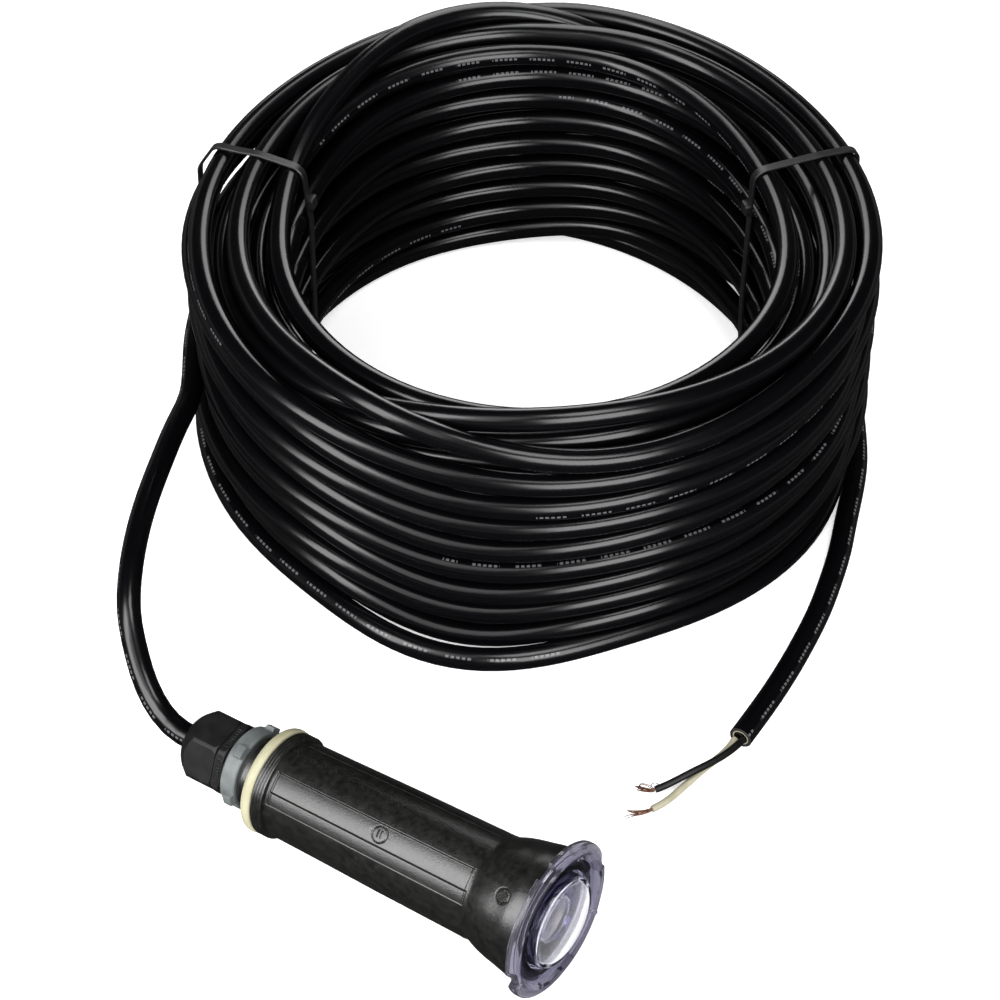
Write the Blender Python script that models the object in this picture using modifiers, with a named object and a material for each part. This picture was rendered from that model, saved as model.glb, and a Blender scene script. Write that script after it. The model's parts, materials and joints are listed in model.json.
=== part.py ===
"""Underwater pool light for a 1 1/2 inch wall fitting, with its cord wound into a coil.

Metres, +Z up. The light lies on the floor on its cream sealing ring and on the rim of
its lens flange. The origin is on the floor under the middle of the light, +X points
along the light towards the lens, and the coil lies behind it, towards +Y.
Sizes along the light are stations u, in metres from the rear, on the light's own axis.
"""

import math

import bmesh
import bpy
import numpy as np
from mathutils import Matrix, Vector

# ---------------------------------------------------------------- driving dimensions
MM = 0.001
GAP = 0.3 * MM               # clearance between touching pieces
ROUNDEST = 48                # steps round the housing, the lens cover and the coil
FINE = 40                    # steps round a large turned piece
COARSE = 24                  # steps round a small turned piece

CABLE_R = 4.65 * MM
CABLE_HOLE_R = 5.0 * MM

# rubber sealing ring on the neck, and the flange rim: the two places the light rests on
RING_U = 43.8 * MM
RING_CENTRE_R = 18.4 * MM
RING_SECTION_R = 2.3 * MM
FLANGE_R = 29.8 * MM
FLANGE_BACK_U = 165.9 * MM
FLANGE_RIM_U = 166.2 * MM    # rear edge of the rim, after its small chamfer
SEAT_INNER_R = 25.7 * MM     # the flange's seat is a flat ring from here to the rim
RECESS_U = 166.2 * MM        # inside it, a shallow recess takes the housing's front edge
HOUSING_FRONT_U = RECESS_U - GAP

NUT_REAR_U = 4.5 * MM
NUT_REAR_R = 6.8 * MM
NUT_FRONT_U = 23.2 * MM
HEX_FLATS = 27.0 * MM        # across flats, dome nut and gland collar
HEX_CORNER_R = 15.2 * MM     # the hexagon's corners are turned down to this
HEX_TURN = math.radians(33)  # a corner's direction, from up towards -Y
THREAD_R = 10.4 * MM
THREAD_BORE_R = 10.7 * MM

LOCKNUT_REAR_U = 28.0 * MM
LOCKNUT_FRONT_U = 35.2 * MM
LOCKNUT_R = 15.6 * MM
LUG_COUNT = 5
LUG_TIP_R = 17.3 * MM
LUG_WIDTH = 5.0 * MM
LUG_LENGTH = 4.0 * MM
LUG_TURN = math.radians(21)

HOUSING_REAR_U = 36.6 * MM
SOCKET_END_U = 44.3 * MM
CAVITY_U = 49.0 * MM

NOTCH_COUNT = 4
NOTCH_WIDTH = 7.1 * MM
NOTCH_DEPTH = 1.8 * MM
NOTCH_TURN = math.radians(7)

DOME_FRONT_U = 174.5 * MM
DOME_EDGE_U = 171.5 * MM
DOME_EDGE_R = 16.0 * MM

BOARD_REAR_U = 64.0 * MM
BOARD_LENGTH = 52.0 * MM
BOARD_WIDTH = 24.0 * MM
BOARD_THICK = 1.6 * MM
BOARD_DROP = 4.0 * MM        # its upper face lies this far below the axis

SINK_REAR_U = 120.0 * MM
SINK_FRONT_U = 149.6 * MM
HOLE_CIRCLE_R = 12.6 * MM    # board screws and LED leads, round the LED

COIL_CENTRE = (-89.3 * MM, 231.0 * MM)
COIL_OUTER_R = 137.5 * MM
COIL_INNER_R = 100.0 * MM
COIL_HEIGHT = 114.0 * MM
TIE_ANGLES = {"cable_tie_left": math.radians(-165), "cable_tie_right": math.radians(53.5)}
TIE_WIDTH = 3.6 * MM
TIE_THICK = 1.2 * MM

# the cord's route where it isn't coiled: from the gland to the coil, and on to the cut end
LEAD_ROUTE = [
    (-0.0849, 0.0000, 0.0177), (-0.0920, 0.0002, 0.0174), (-0.0995, 0.0015, 0.0182),
    (-0.1075, 0.0041, 0.0211), (-0.1155, 0.0081, 0.0264), (-0.1228, 0.0132, 0.0334),
    (-0.1302, 0.0198, 0.0408), (-0.1384, 0.0310, 0.0465), (-0.1473, 0.0458, 0.0492),
    (-0.1570, 0.0645, 0.0498), (-0.1668, 0.0857, 0.0487), (-0.1766, 0.1088, 0.0471),
    (-0.1823, 0.1226, 0.0463)]
TAIL_ROUTE = [
    (0.0535, 0.2470, 0.0047), (0.0592, 0.2329, 0.0047), (0.0645, 0.2166, 0.0047),
    (0.0690, 0.2001, 0.0047), (0.0723, 0.1830, 0.0047), (0.0748, 0.1659, 0.0047),
    (0.0765, 0.1483, 0.0047), (0.0776, 0.1265, 0.0047)]
CONDUCTOR_R = 1.4 * MM
BLACK_ROUTE = [
    (0.0793, 0.1257, 0.0055), (0.0788, 0.1200, 0.0060), (0.0762, 0.1106, 0.0060),
    (0.0714, 0.1003, 0.0054), (0.0660, 0.0914, 0.0032), (0.0636, 0.0884, 0.0022)]
WHITE_ROUTE = [
    (0.0759, 0.1257, 0.0036), (0.0757, 0.1206, 0.0026), (0.0734, 0.1093, 0.0016),
    (0.0711, 0.0940, 0.0015), (0.0688, 0.0837, 0.0015), (0.0674, 0.0804, 0.0015)]
BLACK_STRAND_ROUTE = [(0.0629, 0.0877, 0.0020), (0.0598, 0.0866, 0.0014), (0.0562, 0.0854, 0.0011)]
WHITE_STRAND_ROUTE = [(0.0669, 0.0795, 0.0014), (0.0642, 0.0764, 0.0011), (0.0605, 0.0739, 0.0011)]
STRAND_R = 1.0 * MM

# colours: red, green, blue, roughness, metallic
FINISHES = {
    "black_nylon": (0.020, 0.020, 0.022, 0.45, 0.0),
    "grey_nylon": (0.190, 0.205, 0.205, 0.45, 0.0),
    "housing_black": (0.016, 0.016, 0.018, 0.35, 0.0),
    "cream_rubber": (0.680, 0.640, 0.420, 0.60, 0.0),
    "black_rubber": (0.015, 0.015, 0.015, 0.60, 0.0),
    "smoky_lens": (0.150, 0.130, 0.190, 0.08, 0.0),
    "mirror_metal": (0.850, 0.850, 0.870, 0.10, 1.0),
    "aluminium": (0.700, 0.710, 0.720, 0.35, 1.0),
    "thermal_grey": (0.400, 0.410, 0.420, 0.80, 0.0),
    "led_yellow": (0.850, 0.700, 0.150, 0.40, 0.0),
    "clear_optic": (0.850, 0.880, 0.900, 0.05, 0.0),
    "board_green": (0.020, 0.180, 0.070, 0.50, 0.0),
    "board_white": (0.800, 0.800, 0.780, 0.45, 0.0),
    "steel": (0.550, 0.550, 0.560, 0.30, 1.0),
    "epoxy_black": (0.025, 0.025, 0.027, 0.50, 0.0),
    "wire_red": (0.500, 0.020, 0.020, 0.45, 0.0),
    "wire_black": (0.018, 0.018, 0.018, 0.45, 0.0),
    "wire_ivory": (0.700, 0.660, 0.480, 0.45, 0.0),
    "copper": (0.720, 0.330, 0.190, 0.35, 1.0),
    "cord_black": (0.014, 0.014, 0.014, 0.35, 0.0),
    "tie_black": (0.020, 0.020, 0.020, 0.40, 0.0),
}


def resting_tilt():
    """Angle that the axis rises at, with the sealing ring and the flange rim on the floor."""
    run = FLANGE_RIM_U - RING_U
    rise = FLANGE_R - RING_CENTRE_R
    return math.acos(RING_SECTION_R / math.hypot(run, rise)) - math.atan2(run, rise)


def dome_radius():
    """Radius of the lens dome, from its edge radius and its height."""
    height = DOME_FRONT_U - DOME_EDGE_U
    return (DOME_EDGE_R ** 2 + height ** 2) / (2 * height)


TILT = resting_tilt()
AXIS_HEIGHT = (RING_CENTRE_R * math.cos(TILT) + RING_SECTION_R
               - RING_U * math.sin(TILT))
REAR_X = NUT_REAR_U * math.cos(TILT) - NUT_REAR_R * math.sin(TILT)
FRONT_X = (DOME_FRONT_U - dome_radius()) * math.cos(TILT) + dome_radius()


# ---------------------------------------------------------------- scene and materials
def clear_scene():
    for obj in list(bpy.data.objects):
        bpy.data.objects.remove(obj, do_unlink=True)


def new_collection(name):
    collection = bpy.data.collections.new(name)
    bpy.context.scene.collection.children.link(collection)
    return collection


def new_material(name):
    red, green, blue, roughness, metallic = FINISHES[name]
    material = bpy.data.materials.new(name)
    material.use_nodes = True
    shader = material.node_tree.nodes["Principled BSDF"]
    shader.inputs["Base Color"].default_value = (red, green, blue, 1.0)
    shader.inputs["Roughness"].default_value = roughness
    shader.inputs["Metallic"].default_value = metallic
    return material


clear_scene()
PARTS = new_collection("underwater_pool_light")
CUTTERS = new_collection("cutters")
MATERIALS = {name: new_material(name) for name in FINISHES}


def make_light_axis():
    """The empty whose +Z is the light's axis towards the lens, and +X points down."""
    empty = bpy.data.objects.new("light_axis", None)
    PARTS.objects.link(empty)
    middle_x = (REAR_X + FRONT_X) / 2
    empty.location = (-middle_x, 0, AXIS_HEIGHT)
    empty.rotation_euler = (0, math.pi / 2 - TILT, 0)
    return empty


LIGHT_AXIS = make_light_axis()


# ---------------------------------------------------------------- ways of making a piece
def add_piece(name, data, finish, parent=LIGHT_AXIS):
    piece = bpy.data.objects.new(name, data)
    PARTS.objects.link(piece)
    piece.parent = parent
    data.materials.clear()
    data.materials.append(MATERIALS[finish])
    return piece


def add_cutter(name, data, parent=LIGHT_AXIS):
    cutter = bpy.data.objects.new(name, data)
    CUTTERS.objects.link(cutter)
    cutter.parent = parent
    cutter.hide_render = True
    cutter.display_type = "WIRE"
    return cutter


def profile_mesh(name, profile):
    """A line of (radius, station) points; it closes on itself unless it ends on the axis."""
    count = len(profile)
    edges = [(i, i + 1) for i in range(count - 1)]
    if profile[0][0] > 0 or profile[-1][0] > 0:
        edges.append((count - 1, 0))
    mesh = bpy.data.meshes.new(name)
    mesh.from_pydata([(radius, 0, station) for radius, station in profile], edges, [])
    return mesh


def spin(piece, steps):
    screw = piece.modifiers.new("turn", "SCREW")
    screw.steps = steps
    screw.render_steps = steps
    screw.use_merge_vertices = True
    screw.merge_threshold = 0.00001
    screw.use_smooth_shade = True


def turned(name, profile, finish, steps=FINE, parent=LIGHT_AXIS):
    """A turned solid. The profile runs down its outer side, then up its inner side."""
    piece = add_piece(name, profile_mesh(name, profile), finish, parent)
    spin(piece, steps)
    return piece


def boolean(piece, cutter, operation):
    modifier = piece.modifiers.new(cutter.name, "BOOLEAN")
    modifier.operation = operation
    modifier.object = cutter


def add_box(bm, size, matrix):
    cube = bmesh.ops.create_cube(bm, size=1)
    bmesh.ops.transform(bm, matrix=matrix @ Matrix.Diagonal((*size, 1)), verts=cube["verts"])


def boxes_mesh(name, boxes):
    """One mesh of separate boxes, from (size, matrix) pairs."""
    mesh = bpy.data.meshes.new(name)
    bm = bmesh.new()
    for size, matrix in boxes:
        add_box(bm, size, matrix)
    bm.to_mesh(mesh)
    bm.free()
    return mesh


def cylinder_mesh(name, radius, length, centres, steps=16):
    """One mesh of separate cylinders along local Z, each centred on a given point."""
    mesh = bpy.data.meshes.new(name)
    bm = bmesh.new()
    for centre in centres:
        bmesh.ops.create_cone(bm, cap_ends=True, segments=steps, radius1=radius,
                              radius2=radius, depth=length, matrix=Matrix.Translation(centre))
    bm.to_mesh(mesh)
    bm.free()
    return mesh


def rounded(piece, width, segments=2):
    bevel = piece.modifiers.new("rounding", "BEVEL")
    bevel.width = width
    bevel.segments = segments


def around(angle, radius, station=0.0):
    """A point on the light, at an angle from up towards -Y."""
    return Vector((-radius * math.cos(angle), -radius * math.sin(angle), station))


def facing(angle):
    """Turns local X to point out from the axis, at an angle from up towards -Y."""
    return Matrix.Rotation(math.pi + angle, 4, "Z")


def hexagon_cutter(name, low_u, high_u):
    mesh = bpy.data.meshes.new(name)
    bm = bmesh.new()
    corner = HEX_FLATS / 2 / math.cos(math.pi / 6)
    spin_to_corner = facing(HEX_TURN) @ Matrix.Rotation(-math.pi / 2, 4, "Z")
    place = Matrix.Translation((0, 0, (low_u + high_u) / 2)) @ spin_to_corner
    bmesh.ops.create_cone(bm, cap_ends=True, segments=6, radius1=corner, radius2=corner,
                          depth=high_u - low_u, matrix=place)
    bm.to_mesh(mesh)
    bm.free()
    return add_cutter(name, mesh)


def smooth_route(points, spacing):
    """Points a given spacing apart on a natural cubic spline through the given points."""
    knots = np.array(points, dtype=float)
    chord = np.linalg.norm(np.diff(knots, axis=0), axis=1)
    at = np.concatenate([[0], np.cumsum(chord)])
    count = len(knots)
    system = np.eye(count)
    right = np.zeros((count, 3))
    for i in range(1, count - 1):
        system[i, i - 1:i + 2] = (chord[i - 1], 2 * (chord[i - 1] + chord[i]), chord[i])
        right[i] = 6 * ((knots[i + 1] - knots[i]) / chord[i]
                        - (knots[i] - knots[i - 1]) / chord[i - 1])
    bend = np.linalg.solve(system, right)
    result = []
    for s in np.linspace(0, at[-1], max(2, round(at[-1] / spacing) + 1)):
        i = min(int(np.searchsorted(at, s, side="right")) - 1, count - 2)
        before = (at[i + 1] - s) / chord[i]
        after = 1 - before
        result.append(before * knots[i] + after * knots[i + 1] + chord[i] ** 2 / 6
                      * ((before ** 3 - before) * bend[i] + (after ** 3 - after) * bend[i + 1]))
    return result


def tube(name, points, radius, finish, parent=None, sides_each_quarter=2):
    """A round wire or cable along the given points, with flat ends."""
    curve = bpy.data.curves.new(name, "CURVE")
    curve.dimensions = "3D"
    curve.bevel_depth = radius
    curve.bevel_resolution = sides_each_quarter
    curve.use_fill_caps = True
    spline = curve.splines.new("POLY")
    spline.points.add(len(points) - 1)
    for place, point in zip(spline.points, points):
        place.co = (*point, 1)
    return add_piece(name, curve, finish, parent)


# ---------------------------------------------------------------- cable gland
def make_gland_nut():
    hole_r = CABLE_HOLE_R + 0.2 * MM
    profile = [
        (hole_r, NUT_FRONT_U - 15.0 * MM), (11.2 * MM, NUT_FRONT_U - 14.5 * MM),
        (11.2 * MM, NUT_FRONT_U), (14.2 * MM, NUT_FRONT_U), (HEX_CORNER_R, NUT_FRONT_U - 1.0 * MM),
        (HEX_CORNER_R, 12.0 * MM), (13.6 * MM, 9.8 * MM), (12.0 * MM, 7.5 * MM),
        (9.5 * MM, 5.5 * MM), (NUT_REAR_R, NUT_REAR_U), (hole_r, NUT_REAR_U)]
    nut = turned("gland_nut", profile, "black_nylon")
    boolean(nut, hexagon_cutter("nut_hexagon", 0.0, NUT_FRONT_U + 5 * MM), "INTERSECT")


def make_gland_claw():
    rear, front = 9.0 * MM, 15.5 * MM
    profile = [(CABLE_HOLE_R, front), (9.3 * MM, front), (9.3 * MM, 13.0 * MM),
               (7.5 * MM, rear), (CABLE_HOLE_R, rear)]
    claw = turned("gland_claw", profile, "black_nylon", COARSE)
    slot_length, slot_width, slot_count = 4.2 * MM, 0.9 * MM, 8
    slots = []
    for k in range(slot_count):
        turn = facing(2 * math.pi * (k + 0.5) / slot_count)
        slots.append(((6 * MM, slot_width, 2 * slot_length),
                      turn @ Matrix.Translation((7.2 * MM, 0, rear))))
    boolean(claw, add_cutter("claw_slots", boxes_mesh("claw_slots", slots)), "DIFFERENCE")


def make_gland_seal():
    rear, front = 15.8 * MM, 22.0 * MM
    profile = [(CABLE_HOLE_R, front), (7.6 * MM, front), (8.2 * MM, front - 0.8 * MM),
               (8.2 * MM, rear), (CABLE_HOLE_R, rear)]
    turned("gland_seal", profile, "black_rubber", COARSE)


def make_gland_body():
    collar_rear, collar_front = 23.5 * MM, 27.3 * MM
    spigot_rear, thread_end = 15.6 * MM, SOCKET_END_U - 0.4 * MM
    profile = [
        (CABLE_HOLE_R, thread_end), (THREAD_R - 0.6 * MM, thread_end),
        (THREAD_R, thread_end - 0.6 * MM), (THREAD_R, collar_front),
        (14.2 * MM, collar_front), (HEX_CORNER_R, collar_front - 0.8 * MM),
        (HEX_CORNER_R, collar_rear + 0.6 * MM), (14.6 * MM, collar_rear),
        (10.9 * MM, collar_rear), (10.9 * MM, spigot_rear), (8.5 * MM, spigot_rear),
        (8.5 * MM, 22.3 * MM), (CABLE_HOLE_R, 22.3 * MM)]
    body = turned("gland_body", profile, "black_nylon")
    boolean(body, hexagon_cutter("collar_hexagon", 10 * MM, 50 * MM), "INTERSECT")


def make_locknut():
    profile = [
        (THREAD_BORE_R, LOCKNUT_FRONT_U), (LOCKNUT_R - 0.5 * MM, LOCKNUT_FRONT_U),
        (LOCKNUT_R, LOCKNUT_FRONT_U - 0.5 * MM), (LOCKNUT_R, LOCKNUT_REAR_U + 1.0 * MM),
        (LOCKNUT_R - 1.2 * MM, LOCKNUT_REAR_U), (THREAD_BORE_R, LOCKNUT_REAR_U)]
    nut = turned("locknut", profile, "grey_nylon")
    root_r = 13.0 * MM
    lugs = []
    for k in range(LUG_COUNT):
        turn = facing(LUG_TURN + 2 * math.pi * k / LUG_COUNT)
        place = Matrix.Translation(((root_r + LUG_TIP_R) / 2, 0,
                                    LOCKNUT_FRONT_U - 0.2 * MM - LUG_LENGTH / 2))
        lugs.append(((LUG_TIP_R - root_r, LUG_WIDTH, LUG_LENGTH), turn @ place))
    boolean(nut, add_cutter("locknut_lugs", boxes_mesh("locknut_lugs", lugs)), "UNION")


def make_sealing_washer():
    rear, front = 35.5 * MM, 36.3 * MM
    profile = [(10.8 * MM, front), (14.0 * MM, front), (14.0 * MM, rear), (10.8 * MM, rear)]
    turned("sealing_washer", profile, "black_rubber")


# ---------------------------------------------------------------- housing and sealing ring
def make_housing():
    seat_r = RING_CENTRE_R - RING_SECTION_R - 0.35 * MM
    shoulder_u = RING_U + RING_SECTION_R + GAP
    shoulder_end_u, shoulder_r = 50.8 * MM, 20.3 * MM
    neck_r, neck_end_u = 14.8 * MM, 41.4 * MM
    tube_side = [(20.1 * MM, 141.5 * MM), (19.9 * MM, 130 * MM), (19.55 * MM, 101 * MM),
                 (18.94 * MM, 72 * MM), (18.65 * MM, 54 * MM), (18.65 * MM, shoulder_end_u)]
    bell_side = [(25.3 * MM, HOUSING_FRONT_U), (25.0 * MM, 159.6 * MM), (23.95 * MM, 155 * MM),
                 (23.1 * MM, 150.4 * MM), (21.9 * MM, 145.8 * MM), (20.97 * MM, 143.5 * MM)]
    profile = (
        [(22.8 * MM, HOUSING_FRONT_U)] + bell_side + tube_side
        + [(shoulder_r, shoulder_end_u), (shoulder_r, shoulder_u), (seat_r, shoulder_u),
           (seat_r, neck_end_u), (neck_r, neck_end_u), (neck_r, HOUSING_REAR_U),
           (THREAD_BORE_R, HOUSING_REAR_U), (THREAD_BORE_R, SOCKET_END_U),
           (CABLE_HOLE_R, SOCKET_END_U), (CABLE_HOLE_R, CAVITY_U), (15.0 * MM, CAVITY_U),
           (16.0 * MM, CAVITY_U + 1 * MM), (17.3 * MM, 142 * MM), (22.0 * MM, 152 * MM)])
    turned("housing", profile, "housing_black", ROUNDEST)


def make_sealing_ring():
    points = 12
    profile = []
    for k in range(points):
        turn = -2 * math.pi * k / points
        profile.append((RING_CENTRE_R + RING_SECTION_R * math.cos(turn),
                        RING_U + RING_SECTION_R * math.sin(turn)))
    turned("sealing_ring", profile, "cream_rubber")


# ---------------------------------------------------------------- lens end
def dome_profile(front_u, edge_r, edge_u, count):
    """From the axis out to the edge, on one sphere."""
    height = front_u - edge_u
    radius = (edge_r ** 2 + height ** 2) / (2 * height)
    centre_u = front_u - radius
    sweep = math.asin(edge_r / radius)
    turns = [sweep * k / count for k in range(count + 1)]
    return [(radius * math.sin(turn), centre_u + radius * math.cos(turn)) for turn in turns]


def make_lens_cover():
    skirt_r, skirt_bore_r, skirt_rear_u = 21.9 * MM, 19.2 * MM, 158.0 * MM
    groove_r, groove_rear_u, groove_front_u = 20.6 * MM, 159.95 * MM, 161.95 * MM
    front_face = [
        (17.0 * MM, 170.8 * MM), (17.6 * MM, 169.3 * MM), (19.3 * MM, 167.9 * MM),
        (21.0 * MM, 167.5 * MM), (23.0 * MM, 168.2 * MM), (24.5 * MM, 169.4 * MM),
        (25.6 * MM, 170.0 * MM), (26.4 * MM, 169.8 * MM),
        (FLANGE_R - 0.4 * MM, 168.4 * MM), (FLANGE_R, 168.0 * MM)]
    back_face = [
        (FLANGE_R, FLANGE_RIM_U), (FLANGE_R - 0.3 * MM, FLANGE_BACK_U),
        (SEAT_INNER_R, FLANGE_BACK_U), (SEAT_INNER_R, RECESS_U), (skirt_r, RECESS_U),
        (skirt_r, groove_front_u), (groove_r, groove_front_u), (groove_r, groove_rear_u),
        (skirt_r, groove_rear_u), (skirt_r, skirt_rear_u), (skirt_bore_r, skirt_rear_u),
        (skirt_bore_r, 163.5 * MM), (18.0 * MM, 165.5 * MM)]
    inner_dome = dome_profile(171.8 * MM, 15.0 * MM, 169.2 * MM, 4)
    profile = (dome_profile(DOME_FRONT_U, DOME_EDGE_R, DOME_EDGE_U, 6) + front_face
               + back_face + inner_dome[::-1])
    cover = turned("lens_cover", profile, "smoky_lens", ROUNDEST)
    notches = []
    for k in range(NOTCH_COUNT):
        turn = facing(NOTCH_TURN + 2 * math.pi * k / NOTCH_COUNT)
        place = Matrix.Translation((FLANGE_R - NOTCH_DEPTH + 2 * MM, 0, 167 * MM))
        notches.append(((4 * MM, NOTCH_WIDTH, 8 * MM), turn @ place))
    boolean(cover, add_cutter("flange_notches", boxes_mesh("flange_notches", notches)),
            "DIFFERENCE")


def make_lens_gasket():
    centre_r, centre_u, section_r, points = 21.57 * MM, 160.95 * MM, 0.65 * MM, 8
    profile = []
    for k in range(points):
        turn = -2 * math.pi * k / points
        profile.append((centre_r + section_r * math.cos(turn),
                        centre_u + section_r * math.sin(turn)))
    turned("lens_gasket", profile, "black_rubber", COARSE)


def make_reflector():
    profile = [
        (14.4 * MM, 164.6 * MM), (14.9 * MM, 166.0 * MM), (17.1 * MM, 166.0 * MM),
        (17.1 * MM, 165.3 * MM), (15.5 * MM, 165.3 * MM), (15.1 * MM, 164.2 * MM),
        (5.9 * MM, 154.3 * MM), (5.1 * MM, 154.3 * MM)]
    turned("reflector", profile, "mirror_metal")


def make_inner_optic():
    rear_u, rim_u = 162.6 * MM, 164.4 * MM
    profile = dome_profile(167.4 * MM, 12.2 * MM, rim_u, 4) + [(11.4 * MM, rear_u), (0, rear_u)]
    turned("inner_optic", profile, "clear_optic")


def make_led():
    """The LED chip on its round board, with the pad behind it."""
    turned("led_chip", [(0, 153.9 * MM), (4.5 * MM, 153.9 * MM), (4.5 * MM, 152.6 * MM),
                        (0, 152.6 * MM)], "led_yellow", COARSE)
    turned("thermal_pad", [(0, 150.4 * MM), (10.8 * MM, 150.4 * MM), (10.8 * MM, 149.9 * MM),
                           (0, 149.9 * MM)], "thermal_grey", COARSE)
    board = turned("led_board", [(0, 152.3 * MM), (15 * MM, 152.3 * MM), (15 * MM, 150.7 * MM),
                                 (0, 150.7 * MM)], "board_white", FINE)
    centres = [around(turn, HOLE_CIRCLE_R, 151.5 * MM) for turn in (0, math.pi)]
    holes = cylinder_mesh("board_screw_holes", 1.5 * MM, 6 * MM, centres)
    boolean(board, add_cutter("board_screw_holes", holes), "DIFFERENCE")


def make_heat_sink():
    """An aluminium slug with cooling grooves, two screw holes and two holes for the leads."""
    slug_r, head_r, groove_r, groove_width = 16.6 * MM, 18.6 * MM, 14.6 * MM, 2.0 * MM
    outer = [(head_r, SINK_FRONT_U), (head_r, 146.6 * MM), (slug_r, 145.6 * MM)]
    for groove_front_u in (140 * MM, 135 * MM, 130 * MM, 125 * MM):
        outer += [(slug_r, groove_front_u), (groove_r, groove_front_u),
                  (groove_r, groove_front_u - groove_width),
                  (slug_r, groove_front_u - groove_width)]
    profile = [(0, SINK_FRONT_U)] + outer + [(slug_r, SINK_REAR_U), (0, SINK_REAR_U)]
    sink = turned("heat_sink", profile, "aluminium")
    middle_u = (SINK_REAR_U + SINK_FRONT_U) / 2
    lead_centres = [around(side * math.pi / 2, HOLE_CIRCLE_R, middle_u) for side in (-1, 1)]
    lead_holes = cylinder_mesh("lead_holes", 1.3 * MM, 40 * MM, lead_centres)
    boolean(sink, add_cutter("lead_holes", lead_holes), "DIFFERENCE")
    screw_centres = [around(turn, HOLE_CIRCLE_R, SINK_FRONT_U) for turn in (0, math.pi)]
    screw_holes = cylinder_mesh("screw_holes", 1.5 * MM, 17 * MM, screw_centres)
    boolean(sink, add_cutter("screw_holes", screw_holes), "DIFFERENCE")


def make_board_screws():
    head_r, shank_r, head_u = 2.1 * MM, 1.2 * MM, 152.6 * MM
    profile = [(0, head_u + 1.5 * MM), (1.3 * MM, head_u + 1.5 * MM), (head_r, head_u + 0.8 * MM),
               (head_r, head_u), (shank_r, head_u), (shank_r, 142.0 * MM), (0, 142.0 * MM)]
    for name, turn in (("board_screw_upper", 0), ("board_screw_lower", math.pi)):
        screw = turned(name, profile, "steel", 16)
        screw.location = around(turn, HOLE_CIRCLE_R)


# ---------------------------------------------------------------- driver and wiring
def block(name, size, centre, finish, rounding=0.3 * MM):
    """A moulded or wound part on the driver board; size is height, width, length."""
    piece = add_piece(name, boxes_mesh(name, [(size, Matrix.Identity(4))]), finish)
    piece.location = centre
    if rounding:
        rounded(piece, rounding)
    return piece


def make_driver():
    board_top = BOARD_DROP
    block("driver_board", (BOARD_THICK, BOARD_WIDTH, BOARD_LENGTH),
          (board_top + BOARD_THICK / 2, 0, BOARD_REAR_U + BOARD_LENGTH / 2), "board_green", 0)

    def on_board(height, y, station):
        return (board_top - GAP - height / 2, y, station)

    block("driver_transformer", (11 * MM, 14 * MM, 15 * MM), on_board(11 * MM, 0, 90 * MM),
          "epoxy_black", 0.8 * MM)
    block("driver_bridge", (2.6 * MM, 7 * MM, 7 * MM), on_board(2.6 * MM, 0, 76.5 * MM),
          "epoxy_black")
    block("driver_controller", (1.6 * MM, 6 * MM, 5 * MM), on_board(1.6 * MM, 7.5 * MM, 103 * MM),
          "epoxy_black")
    radius, length = 4.0 * MM, 12.0 * MM
    profile = [(0, length / 2), (radius - 0.6 * MM, length / 2), (radius, length / 2 - 0.6 * MM),
               (radius, -length / 2), (0, -length / 2)]
    capacitor = turned("driver_capacitor", profile, "aluminium", COARSE)
    capacitor.location = (board_top - GAP - radius, -5 * MM, 107 * MM)


def make_wiring():
    entry_end_u, entry_start_u = 53.0 * MM, NUT_REAR_U + GAP
    turned("cable_entry", [(0, entry_end_u), (CABLE_R, entry_end_u), (CABLE_R, entry_start_u),
                           (0, entry_start_u)], "cord_black", COARSE)
    turned("potting_plug", [(CABLE_R + GAP, 58 * MM), (15.7 * MM, 58 * MM), (15.7 * MM, 50.6 * MM),
                            (14.7 * MM, CAVITY_U + GAP), (CABLE_R + GAP, CAVITY_U + GAP)],
           "epoxy_black")
    wire_r = 1.2 * MM
    landing = BOARD_DROP - GAP - wire_r
    for side, name, finish in ((1, "supply_wire_white", "wire_ivory"),
                               (-1, "supply_wire_black", "wire_black")):
        route = [(0, side * 1.8 * MM, entry_end_u + GAP), (0, side * 2.0 * MM, 58 * MM),
                 (landing * 0.6, side * 3.6 * MM, 63 * MM), (landing, side * 5 * MM, 68 * MM),
                 (landing, side * 5.4 * MM, 72 * MM)]
        tube(name, smooth_route(route, 2 * MM), wire_r, finish, LIGHT_AXIS)
    lead_r = 0.8 * MM
    low = BOARD_DROP - GAP - lead_r
    for side, name, finish in ((1, "led_lead_red", "wire_red"),
                               (-1, "led_lead_black", "wire_black")):
        across = side * HOLE_CIRCLE_R
        route = [(low, side * 10.4 * MM, 108 * MM), (low * 0.9, side * 11.0 * MM, 111 * MM),
                 (low * 0.2, side * 12.4 * MM, 116 * MM), (0, across, 119.5 * MM),
                 (0, across, 130 * MM), (0, across, 140 * MM), (0, across, 150.4 * MM)]
        tube(name, smooth_route(route, 2.5 * MM), lead_r, finish, LIGHT_AXIS)


# ---------------------------------------------------------------- cord outside the light
def make_cord():
    step = 0.011
    tube("cable_lead", smooth_route(LEAD_ROUTE, step), CABLE_R, "cord_black")
    tube("cable_tail", smooth_route(TAIL_ROUTE, step), CABLE_R, "cord_black")
    tube("conductor_black", smooth_route(BLACK_ROUTE, 0.003), CONDUCTOR_R, "wire_black")
    tube("conductor_white", smooth_route(WHITE_ROUTE, 0.003), CONDUCTOR_R, "wire_ivory")
    tube("strands_black", smooth_route(BLACK_STRAND_ROUTE, 0.002), STRAND_R, "copper")
    tube("strands_white", smooth_route(WHITE_STRAND_ROUTE, 0.002), STRAND_R, "copper")


def at_coil(angle):
    """The coil's frame turned so that local X points out through the coil at an angle."""
    return Matrix.Translation((*COIL_CENTRE, 0)) @ Matrix.Rotation(angle, 4, "Z")


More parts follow.
